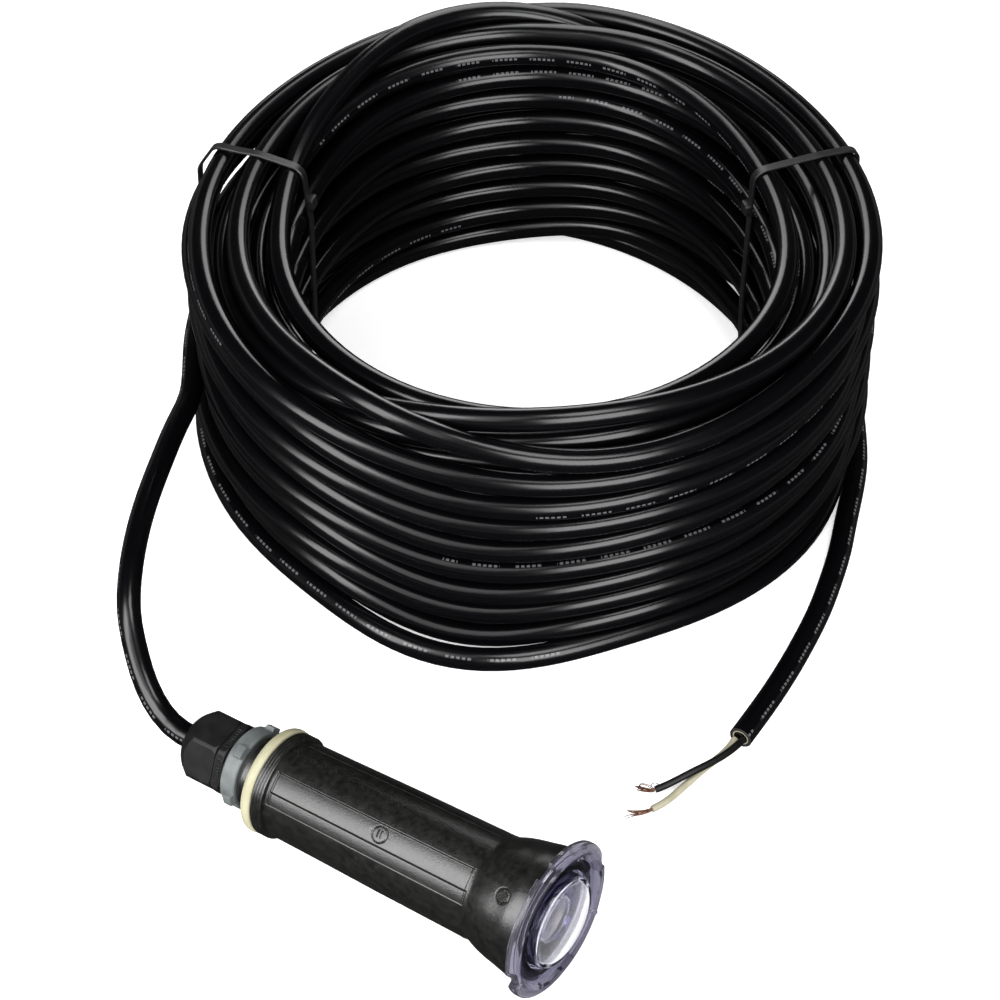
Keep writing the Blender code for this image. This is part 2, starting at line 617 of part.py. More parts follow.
def make_coil():
    """The wound cord's outer shape: a ring with a rounded top and a groove under each tie."""
    crown = 12 * MM
    profile = [
        (COIL_INNER_R + crown, COIL_HEIGHT), (COIL_OUTER_R - crown, COIL_HEIGHT),
        (COIL_OUTER_R - crown / 3, COIL_HEIGHT - crown / 3), (COIL_OUTER_R, COIL_HEIGHT - crown),
        (COIL_OUTER_R, 3 * MM), (COIL_OUTER_R - 2 * MM, 0), (COIL_INNER_R + 2 * MM, 0),
        (COIL_INNER_R, 3 * MM), (COIL_INNER_R, COIL_HEIGHT - crown),
        (COIL_INNER_R + crown / 3, COIL_HEIGHT - crown / 3)]
    coil = turned("cable_coil", profile, "cord_black", ROUNDEST, None)
    coil.location = (*COIL_CENTRE, 0)
    middle_r = (COIL_INNER_R + COIL_OUTER_R) / 2
    depth = TIE_THICK + 2 * GAP
    grooves = []
    for angle in TIE_ANGLES.values():
        place = at_coil(angle) @ Matrix.Translation((middle_r, 0, 0))
        grooves.append(((60 * MM, TIE_WIDTH + 2 * MM, 2 * depth), place))
    boolean(coil, add_cutter("tie_grooves", boxes_mesh("tie_grooves", grooves), None),
            "DIFFERENCE")


def make_tie(name, angle):
    """A nylon strap round the coil, with its locking head on the inner side."""
    low_r, high_r = COIL_INNER_R - GAP - TIE_THICK, COIL_OUTER_R + GAP + TIE_THICK
    top = COIL_HEIGHT + GAP + TIE_THICK
    width, height = high_r - low_r, top
    head_depth, head_height = 4.0 * MM, 5.0 * MM
    middle = at_coil(angle) @ Matrix.Translation(((low_r + high_r) / 2, 0, height / 2))
    inside_size = (width - 2 * TIE_THICK, 2 * TIE_WIDTH, height - 2 * TIE_THICK)
    strap = add_piece(name, boxes_mesh(name, [((width, TIE_WIDTH, height), middle)]),
                      "tie_black", None)
    hollow = boxes_mesh(name + "_hollow", [(inside_size, middle)])
    boolean(strap, add_cutter(name + "_hollow", hollow, None), "DIFFERENCE")
    head_place = at_coil(angle) @ Matrix.Translation(
        (low_r - head_depth / 2 + TIE_THICK / 2, 0, top - 22 * MM))
    head = boxes_mesh(name + "_head",
                      [((head_depth, TIE_WIDTH + 1.6 * MM, head_height), head_place)])
    boolean(strap, add_cutter(name + "_head", head, None), "UNION")


def build():
    make_gland_nut()
    make_gland_claw()
    make_gland_seal()
    make_gland_body()
    make_locknut()
    make_sealing_washer()
    make_housing()
    make_sealing_ring()
    make_lens_cover()
    make_lens_gasket()
    make_reflector()
    make_inner_optic()
    make_led()
    make_heat_sink()
    make_board_screws()
    make_driver()
    make_wiring()
    make_cord()
    make_coil()
    for name, angle in TIE_ANGLES.items():
        make_tie(name, angle)


build()
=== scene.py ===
"""The finished look of the underwater pool light and its coiled cord, in metres."""
import json
import math

import bmesh
import bpy
import numpy as np
from mathutils import Matrix, Vector


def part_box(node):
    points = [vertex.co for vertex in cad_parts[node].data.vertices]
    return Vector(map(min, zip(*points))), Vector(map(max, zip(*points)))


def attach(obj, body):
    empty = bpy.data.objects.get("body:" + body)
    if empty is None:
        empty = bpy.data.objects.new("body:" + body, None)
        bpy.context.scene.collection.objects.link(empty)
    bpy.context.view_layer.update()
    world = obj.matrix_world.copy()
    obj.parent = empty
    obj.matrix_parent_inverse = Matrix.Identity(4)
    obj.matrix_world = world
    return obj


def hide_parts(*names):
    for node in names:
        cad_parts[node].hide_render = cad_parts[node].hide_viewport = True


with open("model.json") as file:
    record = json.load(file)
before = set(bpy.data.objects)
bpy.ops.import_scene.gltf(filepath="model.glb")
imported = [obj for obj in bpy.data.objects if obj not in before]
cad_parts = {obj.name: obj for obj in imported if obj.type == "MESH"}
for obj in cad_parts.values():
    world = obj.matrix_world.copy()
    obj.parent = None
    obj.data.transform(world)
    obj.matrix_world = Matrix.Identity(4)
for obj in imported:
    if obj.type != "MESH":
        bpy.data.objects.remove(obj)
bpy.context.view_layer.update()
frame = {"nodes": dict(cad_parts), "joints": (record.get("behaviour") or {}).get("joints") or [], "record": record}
NODES = frame["nodes"]
MM = 0.001

# ---------------------------------------- the light's own axis
JOINTS = {joint["name"]: joint for joint in frame["joints"]}
NUT_JOINT_U = 14.0 * MM      # station of the dome nut's joint, from the light's rear
AXIS = -Vector(JOINTS["gland_nut_turn"]["axis"]).normalized()
ORIGIN = Vector(JOINTS["gland_nut_turn"]["pos_m"]) - AXIS * NUT_JOINT_U
ACROSS = Vector((0, 1, 0))
DOWN = ACROSS.cross(AXIS)
LIGHT = Matrix((
    (DOWN.x, ACROSS.x, AXIS.x, ORIGIN.x),
    (DOWN.y, ACROSS.y, AXIS.y, ORIGIN.y),
    (DOWN.z, ACROSS.z, AXIS.z, ORIGIN.z),
    (0, 0, 0, 1)))

# ---------------------------------------- the cord's facts
CABLE_R = 4.65 * MM
LEAD_ROUTE = [
    (-0.0849, 0.0000, 0.0177), (-0.0920, 0.0002, 0.0174), (-0.0995, 0.0015, 0.0182),
    (-0.1075, 0.0041, 0.0211), (-0.1155, 0.0081, 0.0264), (-0.1228, 0.0132, 0.0334),
    (-0.1302, 0.0198, 0.0408), (-0.1384, 0.0310, 0.0465), (-0.1473, 0.0458, 0.0492),
    (-0.1570, 0.0645, 0.0498), (-0.1668, 0.0857, 0.0487), (-0.1766, 0.1088, 0.0471),
    (-0.1823, 0.1226, 0.0463)]
TAIL_ROUTE = [
    (0.0535, 0.2470, 0.0047), (0.0592, 0.2329, 0.0047), (0.0645, 0.2166, 0.0047),
    (0.0690, 0.2001, 0.0047), (0.0723, 0.1830, 0.0047), (0.0748, 0.1659, 0.0047),
    (0.0765, 0.1483, 0.0047), (0.0776, 0.1265, 0.0047)]
BLACK_ROUTE = [
    (0.0793, 0.1257, 0.0055), (0.0788, 0.1200, 0.0060), (0.0762, 0.1106, 0.0060),
    (0.0714, 0.1003, 0.0054), (0.0660, 0.0914, 0.0032), (0.0636, 0.0884, 0.0022)]
WHITE_ROUTE = [
    (0.0759, 0.1257, 0.0036), (0.0757, 0.1206, 0.0026), (0.0734, 0.1093, 0.0016),
    (0.0711, 0.0940, 0.0015), (0.0688, 0.0837, 0.0015), (0.0674, 0.0804, 0.0015)]
BLACK_STRAND = [
    (0.0629, 0.0877, 0.0020), (0.0598, 0.0866, 0.0014), (0.0562, 0.0854, 0.0011)]
WHITE_STRAND = [
    (0.0669, 0.0795, 0.0014), (0.0642, 0.0764, 0.0011), (0.0605, 0.0739, 0.0011)]
CONDUCTOR_R = 1.4 * MM
STRAND_COUNT = 7
STRAND_R = 0.24 * MM
HAIR_R = 0.16 * MM
WHITE_HAIRS = ((-1.7, 0.3), (-3.0, 0.2))
BLACK_CURLS = (
    ((0.3, 0.4), (1.8, 1.9), (4.0, 2.9), (5.8, 2.6), (5.9, 1.6), (4.8, 0.6), (3.6, 0.3)),
    ((0.3, 0.2), (2.2, 1.2), (3.6, 2.1), (5.2, 2.3), (6.2, 1.6), (5.5, 0.6)),
    ((1.5, 1.6), (1.5, 2.9), (0.5, 3.8), (-0.9, 3.5), (-1.4, 2.4), (-1.3, 1.9)))
PRINT_PERIODS = ((0.0021, 0.62), (0.0165, 0.66), (0.62, 0.42))   # metres, and printed share
PRINT_HALF_WIDTH = 0.017     # of a turn
TIE_WIDTH = 3.6 * MM
TIE_THICK = 1.2 * MM

COIL_LOW, COIL_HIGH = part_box("cable_coil")
COIL_CENTRE = (COIL_LOW + COIL_HIGH) / 2
ENTRY_ANGLE = 227.0          # degrees; the lead joins the coil here and runs clockwise
TURNS = 32                   # strands through any one section, the last one ending early
LAST_PART = 0.61             # how much of the last turn is in the coil
LAST = TURNS - 1             # the strand that leaves as the tail
LOOSE = 30                   # the loose turn low at the front
SINKING, TO_INNER, TO_MIDDLE = 27, 17, 5    # strands that cross from a column to another
PER_TURN = 72                # sections round the coil
SIDE_ANGLE, BACK_ANGLE = 34.6, 124.6        # degrees; the photo sees the coil's far side at 124.6
TIE_ANGLES = {"cable_tie_left": -165.0, "cable_tie_right": 53.5}


# ---------------------------------------- camera, floor and light
def make_camera():
    data = bpy.data.cameras.new("camera")
    data.sensor_width = 36
    data.lens = 111.6
    data.clip_start = 0.05
    data.clip_end = 20
    camera = bpy.data.objects.new("camera", data)
    bpy.context.scene.collection.objects.link(camera)
    camera.location = (0.4337, -0.5502, 0.9090)
    forward = Vector((-0.3974, 0.5757, -0.7145))
    camera.rotation_euler = forward.to_track_quat("-Z", "Y").to_euler()
    bpy.context.scene.camera = camera


def area_light(name, location, size, radiance, aim=None):
    """A rectangular softbox, not seen itself, aimed at the middle of the coil unless told."""
    data = bpy.data.lights.new(name, "AREA")
    data.shape = "RECTANGLE"
    data.size, data.size_y = size
    data.energy = radiance * math.pi * size[0] * size[1]
    lamp = bpy.data.objects.new(name, data)
    bpy.context.scene.collection.objects.link(lamp)
    lamp.location = location
    lamp.visible_camera = False
    direction = Vector(aim or (-0.05, 0.15, 0.05)) - Vector(location)
    lamp.rotation_euler = direction.to_track_quat("-Z", "Y").to_euler()


def make_world():
    """A dim studio with a bright band low down, where its white walls are."""
    world = bpy.data.worlds.new("studio")
    world.use_nodes = True
    tree = world.node_tree
    place = add_node(tree, "TexCoord").outputs["Generated"]
    height = add_node(tree, "SeparateXYZ", {"Vector": place}).outputs["Z"]
    levels = ((0.0, 0.03), (0.42, 0.08), (0.49, 0.26), (0.55, 0.26), (0.60, 0.03), (1.0, 0.02))
    colour = ramp_node(tree, range_node(tree, height, 0, 1, -1, 1), levels)
    set_inputs(tree, tree.nodes["Background"], {"Color": colour})
    bpy.context.scene.world = world


def make_stage():
    """A white floor and soft lights on every side."""
    bm = bmesh.new()
    bmesh.ops.create_grid(bm, x_segments=2, y_segments=2, size=6)
    mesh = bpy.data.meshes.new("floor")
    bm.to_mesh(mesh)
    bm.free()
    floor = bpy.data.objects.new("floor", mesh)
    bpy.context.scene.collection.objects.link(floor)
    floor.visible_glossy = False
    material, tree, shader = blank_material("studio_white")
    set_inputs(tree, shader, {
        "Base Color": (0.94, 0.94, 0.94, 1), "Roughness": 0.95, "Specular IOR Level": 0.0,
        "Emission Color": (1, 1, 1, 1), "Emission Strength": 0.55})
    mesh.materials.append(material)
    make_world()
    bpy.context.scene.view_settings.view_transform = "Standard"
    area_light("softbox_right", (0.834, -0.469, 0.576), (0.73, 0.78), 10)
    area_light("softbox_top", (0.266, 0.042, 0.993), (0.33, 0.41), 9)
    area_light("softbox_left", (-0.343, -0.549, 0.49), (0.32, 0.72), 10.5, (0, 0, 0.02))
    area_light("fill_front", (-0.05, -0.65, 0.94), (0.5, 0.9), 2.6)
    area_light("back_wall", (-0.95, 1.45, 0.36), (1.2, 0.42), 2.2)
    away = math.radians(BACK_ANGLE)
    behind = (COIL_CENTRE.x + 0.24 * math.cos(away), COIL_CENTRE.y + 0.24 * math.sin(away), 0.255)
    area_light("small_back", behind, (0.16, 0.16), 5, (COIL_CENTRE.x, COIL_CENTRE.y, 0.08))


# ---------------------------------------- materials
def set_inputs(tree, node, inputs):
    """Gives each named input its value, or joins it to the socket that feeds it."""
    for name, value in inputs.items():
        if isinstance(value, bpy.types.NodeSocket):
            tree.links.new(value, node.inputs[name])
        else:
            node.inputs[name].default_value = value


def add_node(tree, kind, inputs=None, **settings):
    node = tree.nodes.new("ShaderNode" + kind)
    for name, value in settings.items():
        setattr(node, name, value)
    set_inputs(tree, node, inputs or {})
    return node


def noise_node(tree, place, scale, detail):
    return add_node(tree, "TexNoise", {
        "Vector": place, "Scale": scale, "Detail": detail}).outputs["Fac"]


def range_node(tree, value, to_low, to_high, from_low=0, from_high=1):
    return add_node(tree, "MapRange", {
        "Value": value, "From Min": from_low, "From Max": from_high,
        "To Min": to_low, "To Max": to_high}).outputs["Result"]


def math_node(tree, operation, *values):
    return add_node(tree, "Math", dict(enumerate(values)), operation=operation).outputs["Value"]


def bump_node(tree, height, strength, distance):
    return add_node(tree, "Bump", {
        "Height": height, "Strength": strength, "Distance": distance}).outputs["Normal"]


def ramp_node(tree, value, stops):
    """A colour for each (position, level or colour) stop, blended between them."""
    node = add_node(tree, "ValToRGB", {"Fac": value})
    elements = node.color_ramp.elements
    elements[0].position, elements[1].position = stops[0][0], stops[-1][0]
    for position, _ in stops[1:-1]:
        elements.new(position)
    for element, (_, colour) in zip(elements, stops):
        element.color = (*(colour if isinstance(colour, tuple) else (colour,) * 3), 1)
    return node.outputs["Color"]


def blank_material(name):
    material = bpy.data.materials.new(name)
    material.use_nodes = True
    return material, material.node_tree, material.node_tree.nodes["Principled BSDF"]


def mottled(name, dark, light, scale, rough=(0.4, 0.5), bump=0.1, bump_scale=None,
            metallic=0.0, specular=0.5, distance=0.0002):
    """A moulded or metal surface: two near colours, varied roughness and a fine bump."""
    material, tree, shader = blank_material(name)
    place = add_node(tree, "TexCoord").outputs["Object"]
    patches = noise_node(tree, place, scale, 4)
    grain = noise_node(tree, place, bump_scale or scale * 6, 3)
    set_inputs(tree, shader, {
        "Base Color": ramp_node(tree, patches, ((0.35, dark), (0.65, light))),
        "Roughness": range_node(tree, patches, *rough),
        "Normal": bump_node(tree, grain, bump, distance),
        "Metallic": metallic, "Specular IOR Level": specular})
    return material


def cord_material():
    """Glossy jacket that waves slightly over the wires inside, with a row of printed dashes."""
    material, tree, shader = blank_material("cord_jacket")
    uv = add_node(tree, "UVMap", uv_map="along").outputs["UV"]
    split = add_node(tree, "SeparateXYZ", {"Vector": uv})
    length, turn = split.outputs["X"], split.outputs["Y"]
    mark = math_node(tree, "COMPARE", turn, 0.5, PRINT_HALF_WIDTH)
    for period, printed in PRINT_PERIODS:
        phase = math_node(tree, "FRACT", math_node(tree, "MULTIPLY", length, 1 / period))
        mark = math_node(tree, "MULTIPLY", mark, math_node(tree, "LESS_THAN", phase, printed))
    mix = add_node(tree, "Mix", data_type="RGBA")
    set_inputs(tree, mix, {"Factor": mark, "A": (0.0012, 0.0012, 0.0016, 1),
                           "B": (0.085, 0.085, 0.09, 1)})
    place = add_node(tree, "TexCoord").outputs["Object"]
    wave = noise_node(tree, place, 38, 1.5)
    set_inputs(tree, shader, {
        "Base Color": mix.outputs["Result"], "Roughness": range_node(tree, wave, 0.15, 0.26),
        "Normal": bump_node(tree, wave, 0.35, 0.0008), "Specular IOR Level": 0.32})
    return material


# ---------------------------------------- ways of making a piece
def link(name, mesh, material, smooth_angle=35):
    """An object for a mesh, shaded smooth but for edges sharper than the angle."""
    piece = bpy.data.objects.new(name, mesh)
    bpy.context.scene.collection.objects.link(piece)
    mesh.materials.append(material)
    mesh.shade_smooth()
    mesh.set_sharp_from_angle(angle=math.radians(smooth_angle))
    return piece


def still_piece(name, mesh, slot, smooth_angle, *nodes):
    """A piece on the light's body, with its slot's look, that stands for the CAD nodes."""
    piece = link(name, mesh, LOOKS[slot], smooth_angle)
    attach(piece, "light")
    if nodes:
        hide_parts(*nodes)
    return piece


def finished(name, bm):
    """A mesh from a bmesh, which is freed."""
    mesh = bpy.data.meshes.new(name)
    bm.to_mesh(mesh)
    bm.free()
    return mesh


def join_rings(bm, rings):
    """Faces from each ring of corners to the next, and from the last to the first."""
    for first, second in zip(rings, rings[1:] + rings[:1]):
        for k in range(len(first)):
            n = (k + 1) % len(first)
            bm.faces.new((first[k], first[n], second[n], second[k]))


def smooth_route(points, spacing):
    """Points a given spacing apart on a natural cubic spline through the given points."""
    knots = np.array(points, dtype=float)
    chord = np.linalg.norm(np.diff(knots, axis=0), axis=1)
    at = np.concatenate([[0], np.cumsum(chord)])
    count = len(knots)
    below, diagonal, above = np.zeros(count), np.ones(count), np.zeros(count)
    right = np.zeros((count, 3))
    below[1:-1], above[1:-1] = chord[:-1], chord[1:]
    diagonal[1:-1] = 2 * (chord[:-1] + chord[1:])
    slope = np.diff(knots, axis=0) / chord[:, None]
    right[1:-1] = 6 * np.diff(slope, axis=0)
    for i in range(1, count):
        factor = below[i] / diagonal[i - 1]
        diagonal[i] -= factor * above[i - 1]
        right[i] -= factor * right[i - 1]
    bend = np.zeros((count, 3))
    bend[-1] = right[-1] / diagonal[-1]
    for i in range(count - 2, -1, -1):
        bend[i] = (right[i] - above[i] * bend[i + 1]) / diagonal[i]
    s = np.linspace(0, at[-1], max(2, round(at[-1] / spacing) + 1))
    i = np.clip(np.searchsorted(at, s, side="right") - 1, 0, count - 2)
    before = ((at[i + 1] - s) / chord[i])[:, None]
    after = 1 - before
    step = (chord[i] ** 2 / 6)[:, None]
    return (before * knots[i] + after * knots[i + 1]
            + step * ((before ** 3 - before) * bend[i] + (after ** 3 - after) * bend[i + 1]))


def tube_mesh(name, path, radii, sides, twist=None):
    """A closed round tube along a path, with a UV map of length and turn."""
    path = np.asarray(path, dtype=float)
    count = len(path)
    radii = np.broadcast_to(np.asarray(radii, dtype=float), (count,))
    tangent = np.gradient(path, axis=0)
    tangent /= np.linalg.norm(tangent, axis=1)[:, None]
    first = np.empty((count, 3))
    reference = np.array((0.0, 0.0, 1.0))
    for i in range(count):
        side = reference - tangent[i] * reference.dot(tangent[i])
        first[i] = side / np.linalg.norm(side)
        if twist is None:
            reference = first[i]
    second = np.cross(tangent, first)
    along = np.concatenate([[0], np.cumsum(np.linalg.norm(np.diff(path, axis=0), axis=1))])
    turn = np.arange(sides) / sides
    angle = 2 * math.pi * turn[None, :] + (0 if twist is None else np.asarray(twist)[:, None])
    offset = (np.cos(angle)[..., None] * first[:, None]
              + np.sin(angle)[..., None] * second[:, None])
    points = (path[:, None] + radii[:, None, None] * offset).reshape(-1, 3)
    faces = []
    for i in range(count - 1):
        for k in range(sides):
            n = (k + 1) % sides
            faces.append((i * sides + k, i * sides + n, (i + 1) * sides + n, (i + 1) * sides + k))
    faces.append(tuple(range(sides))[::-1])
    faces.append(tuple((count - 1) * sides + k for k in range(sides)))
    mesh = bpy.data.meshes.new(name)
    mesh.from_pydata(points.tolist(), [], faces)
    layer = mesh.uv_layers.new(name="along")
    values = np.zeros((len(mesh.loops), 2))
    quads = (count - 1) * sides
    i = np.repeat(np.arange(count - 1), sides)
    k = np.tile(np.arange(sides), count - 1)
    corner = np.stack([
        np.stack([along[i], k / sides], 1), np.stack([along[i], (k + 1) / sides], 1),
        np.stack([along[i + 1], (k + 1) / sides], 1), np.stack([along[i + 1], k / sides], 1)], 1)
    values[:quads * 4] = corner.reshape(-1, 2)
    layer.data.foreach_set("uv", values.ravel())
    return mesh


# ---------------------------------------- the coil's turns
def ease(value, low, high):
    """0 below low, 1 above high, smooth between."""
    x = np.clip((value - low) / (high - low), 0, 1)
    return x * x * (3 - 2 * x)


def bump_at(angle, centre, half_width):
    """1 at the centre angle, falling to 0 at half_width degrees either side."""
    gap = np.abs((angle - centre + 180) % 360 - 180)
    return np.where(gap < half_width, np.cos(np.pi / 2 * np.minimum(gap / half_width, 1)) ** 2, 0)


def leftover_weight(offset):
    """How much height a strand still takes in its column when it has slid sideways."""
    return np.sqrt(np.clip(1 - (offset / (2.02 * CABLE_R)) ** 2, 1e-6, 1))


def sideways(angle):
    """1 at the two tied sides of the coil, 0 at its front and back."""
    return np.cos(np.radians(angle - SIDE_ANGLE)) ** 2


def coil_columns(angle):
    """The radius and top of the outer, middle and inner column, and how far they zigzag."""
    side = sideways(angle)
    behind = np.cos(np.radians(angle - BACK_ANGLE)) > 0
    back, front = (1 - side) * behind, (1 - side) * ~behind
    outer_r = (131.3 + 2.8 * back + 1.0 * side
               + 3.0 * bump_at(angle, 84, 45) + 3.0 * bump_at(angle, 200, 35)) * MM
    middle_r = (120.5 + 1.5 * back + 0.5 * side) * MM
    inner_r = (111.0 + 1.6 * back - 5.5 * side - 4.0 * bump_at(angle, 62, 50)) * MM
    outer_top = (100.5 * front + 107.0 * back + 102.0 * side) * MM
    middle_top = (115.5 * front + 108.5 * back + 103.0 * side) * MM
    inner_top = (104.5 - 3.0 * side) * MM
    return {"outer": (outer_r, outer_top, 2.4 * MM), "middle": (middle_r, middle_top, 3.0 * MM),
            "inner": (inner_r, inner_top, 4.2 * MM)}


def column_shares(t, angle, loose, leaving):
    """How much of each strand is in each column: the outer one up, the middle one down, the
    inner one up, and then four strands at the outer column's foot."""
    outer, middle, inner = (np.zeros((PER_TURN, TURNS)) for _ in range(3))
    outer[:, SINKING + 1:LAST] = 1
    outer[:, LAST] = np.where(angle > 0, leftover_weight(leaving), 1e-3)
    outer[:, LOOSE] = leftover_weight(loose)
    outer[:, SINKING] = ease(t, 0.43, 0.49)
    outer[:, 0] = 0.5 + 0.5 * ease(t, 0.0, 0.05)
    outer[:, 1:TO_MIDDLE] = 1
    crossing = ease(t, 0.74, 0.98)
    outer[:, TO_MIDDLE] = 1 - crossing
    middle[:, TO_MIDDLE] = crossing
    middle[:, TO_MIDDLE + 1:TO_INNER] = 1
    crossing = ease(t, 0.25, 0.38)
    middle[:, TO_INNER] = 1 - crossing
    inner[:, TO_INNER] = crossing
    inner[:, TO_INNER + 1:SINKING] = 1
    inner[:, SINKING] = 1 - ease(t, 0.10, 0.18)
    return {"outer": outer, "middle": middle, "inner": inner}


def coil_sections():
    """Radius and height of each strand in each section: arrays of (PER_TURN, TURNS)."""
    t = np.arange(PER_TURN) / PER_TURN
    angle = ENTRY_ANGLE - 360 * t
    side = sideways(angle)
    floor = CABLE_R + 1.4 * MM * sum(bump_at(angle, tie, 16) for tie in TIE_ANGLES.values())
    loose = 15.0 * MM * bump_at(angle, -68, 29)
    leaving = 12.3 * MM * (np.clip((32 - angle) / 25.6, 0, None) * (angle > -60)) ** 1.6
    shares = column_shares(t, angle, loose, leaving)
    start_gap = 0.5 * ease(t, 0.92, 1.0)
    from_floor = {"outer": list(range(LAST, SINKING - 1, -1)) + list(range(TO_MIDDLE + 1)),
                  "middle": list(range(TO_INNER, TO_MIDDLE - 1, -1)),
                  "inner": list(range(TO_INNER, SINKING + 1))}
    radius = np.zeros((PER_TURN, TURNS))
    height = np.zeros((PER_TURN, TURNS))
    total = sum(shares.values()) + 1e-9
    for column, (column_r, top, zigzag) in coil_columns(angle).items():
        share = shares[column]
        rows = np.zeros(PER_TURN)
        rank = np.zeros((PER_TURN, TURNS))
        for strand in from_floor[column]:
            if strand == 0:
                rows = rows + start_gap
            rank[:, strand] = rows
            rows = rows + share[:, strand]
        pitch = (top - floor) / np.maximum(rows - 1, 1)
        for strand in from_floor[column]:
            row = rank[:, strand]
            sway = zigzag * side * np.cos(np.pi * row)
            part = share[:, strand] / total[:, strand]
            radius[:, strand] += part * (column_r + sway)
            height[:, strand] += part * (floor + row * pitch)
    radius[:, LOOSE] += loose
    radius[:, LAST] += leaving
    height[:, LOOSE] = np.where(loose > 0.3 * MM, CABLE_R, height[:, LOOSE])
    height[:, LAST] = floor
    radius[:, 0] += 6.0 * MM * (1 - ease(t, -0.02, 0.045))
    sink_inside(angle, radius, height)
    return angle, floor, radius, height


def sink_inside(angle, radius, height):
    """A strand leaves the inner column's top and sinks between the two outer columns."""
    stops = np.array([
        (192, 107, 102), (180, 109, 106), (168, 114, 111), (156, 119.5, 115), (144, 124, 116.5),
        (132, 127.5, 115.5), (121, 128.5, 111), (110, 128.5, 103), (99, 128.5, 92),
        (88, 128, 79), (77, 127.5, 65), (67, 128, 53), (58, 130, 43), (50, 132, 38)])
    inside = (angle <= stops[0, 0]) & (angle >= stops[-1, 0])
    for column, values in ((1, radius), (2, height)):
        path = np.interp(-angle, -stops[:, 0], stops[:, column]) * MM
        values[:, SINKING] = np.where(inside, path, values[:, SINKING])


def relax(floor, radius, height, rounds=220, settling=60):
    """Pushes strands apart until they only touch, and keeps each one smooth along the cord."""
    apart = 2.01 * CABLE_R
    pull_home = 0.05
    home_r, home_z = radius.copy(), height.copy()
    active = np.ones((PER_TURN, TURNS), bool)
    active[int(LAST_PART * PER_TURN) + 1:, LAST] = False
    pairs = active[:, :, None] & active[:, None, :] & ~np.eye(TURNS, dtype=bool)
    for step in range(rounds):
        pulled = step < rounds - settling
        stiffness = 0.5 if pulled else 0.22
        for _ in range(3):
            dr = radius[:, :, None] - radius[:, None, :]
            dz = height[:, :, None] - height[:, None, :]
            gap = np.hypot(dr, dz) + 1e-9
            push = np.where(pairs & (gap < apart), (apart - gap) / 2, 0) / gap
            radius = radius + 0.7 * (push * dr).sum(2)
            height = height + 0.7 * (push * dz).sum(2)
            height = np.maximum(height, floor[:, None])
        if pulled:
            radius += pull_home * (home_r - radius)
            height += pull_home * (home_z - height)
        radius, height = smoothed(radius, stiffness), smoothed(height, stiffness)
    return radius, height


def smoothed(table, amount):
    """Bends each strand a little straighter, with two passes so that waves aren't flattened."""
    line = along_cord(table)
    for factor in (amount, -0.9 * amount):
        line[1:-1] += factor * ((line[:-2] + line[2:]) / 2 - line[1:-1])
    return by_section(line)


def along_cord(table):
    """A (section, strand) table as one line, in the order that the cord runs."""
    return table.T.reshape(-1).copy()


def by_section(line):
    """The cord's line as a (section, strand) table again."""
    return line.reshape(TURNS, PER_TURN).T.copy()


def wander(seed, count, amount, wavelengths):
    """A small smooth random sway along the cord."""
    random = np.random.default_rng(seed)
    at = np.arange(count)
    total = np.zeros(count)
    for wavelength in wavelengths:
        total += np.sin(2 * np.pi * at / wavelength + random.uniform(0, 2 * np.pi))
    return amount * total / math.sqrt(len(wavelengths))


def coil_path():
    """The coil's centreline, from the lead's end to the tail's start, and its last section."""
    angle, floor, radius, height = coil_sections()
    count = TURNS * PER_TURN
    radius += by_section(wander(3, count, 0.55 * MM, (29.3, 41.7, 67.1, 103.9)))
    height += by_section(wander(7, count, 0.45 * MM, (33.1, 47.9, 81.3)))
    radius, height = relax(floor, radius, height)
    line_r, line_z = along_cord(radius), along_cord(height)
    turn = np.radians(np.tile(angle, TURNS))
    last = count - PER_TURN + int(LAST_PART * PER_TURN)
    points = np.stack([COIL_CENTRE.x + line_r * np.cos(turn),
                       COIL_CENTRE.y + line_r * np.sin(turn), line_z], 1)
    return points[1:last - 1], angle, radius, height


def make_cord():
    """The whole cord as one tube, its jacket and print turned a little along the way."""
    coil, angle, radius, height = coil_path()
    knots = np.concatenate([np.array(LEAD_ROUTE), coil, np.array(TAIL_ROUTE)])
    path = smooth_route(knots, 6 * MM)
    length = float(np.linalg.norm(np.diff(path, axis=0), axis=1).sum())
    along = np.linspace(0, length, len(path))
    lay = np.interp(along, (0, 4, 9, 13, 20, 21.5, 25), (1.6, 1.6, 0, -1.5, -1.5, 1.0, 1.6))
    twist = lay + 0.8 * np.sin(along * 1.9) + 0.4 * np.sin(along * 0.83 + 1)
    mesh = tube_mesh("supply_cord", path, CABLE_R, 20, twist=twist)
    cord = link("supply_cord", mesh, cord_material(), 60)
    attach(cord, "light")
    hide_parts("cable_lead", "cable_coil", "cable_tail")
    return cord, path, length, (angle, radius, height)


# ---------------------------------------- the light's turned pieces
def filleted(loop, radius, closed):
    """The section with each corner cut by a small curve."""
    points = [np.array(point, float) for point in loop]
    count = len(points)
    result = []
    for i in range(count):
        here = points[i]
        if not closed and i in (0, count - 1):
            result.append(here)
            continue
        before, after = points[i - 1] - here, points[(i + 1) % count] - here
        before_length, after_length = np.linalg.norm(before), np.linalg.norm(after)
        cut = min(radius, 0.42 * before_length, 0.42 * after_length)
        start, end = here + before / before_length * cut, here + after / after_length * cut
        for t in (0, 0.25, 0.5, 0.75, 1):
            result.append((1 - t) ** 2 * start + 2 * t * (1 - t) * here + t * t * end)
    return result


def dense(points, step, closed):
    """The section with extra points, so that no stretch is longer than step."""
    result = []
    following = points[1:] + (points[:1] if closed else [])
    for first, second in zip(points, following):
        count = max(1, math.ceil(np.linalg.norm(second - first) / step))
        result += [first + (second - first) * i / count for i in range(count)]
    if not closed:
        result.append(points[-1])
    return result


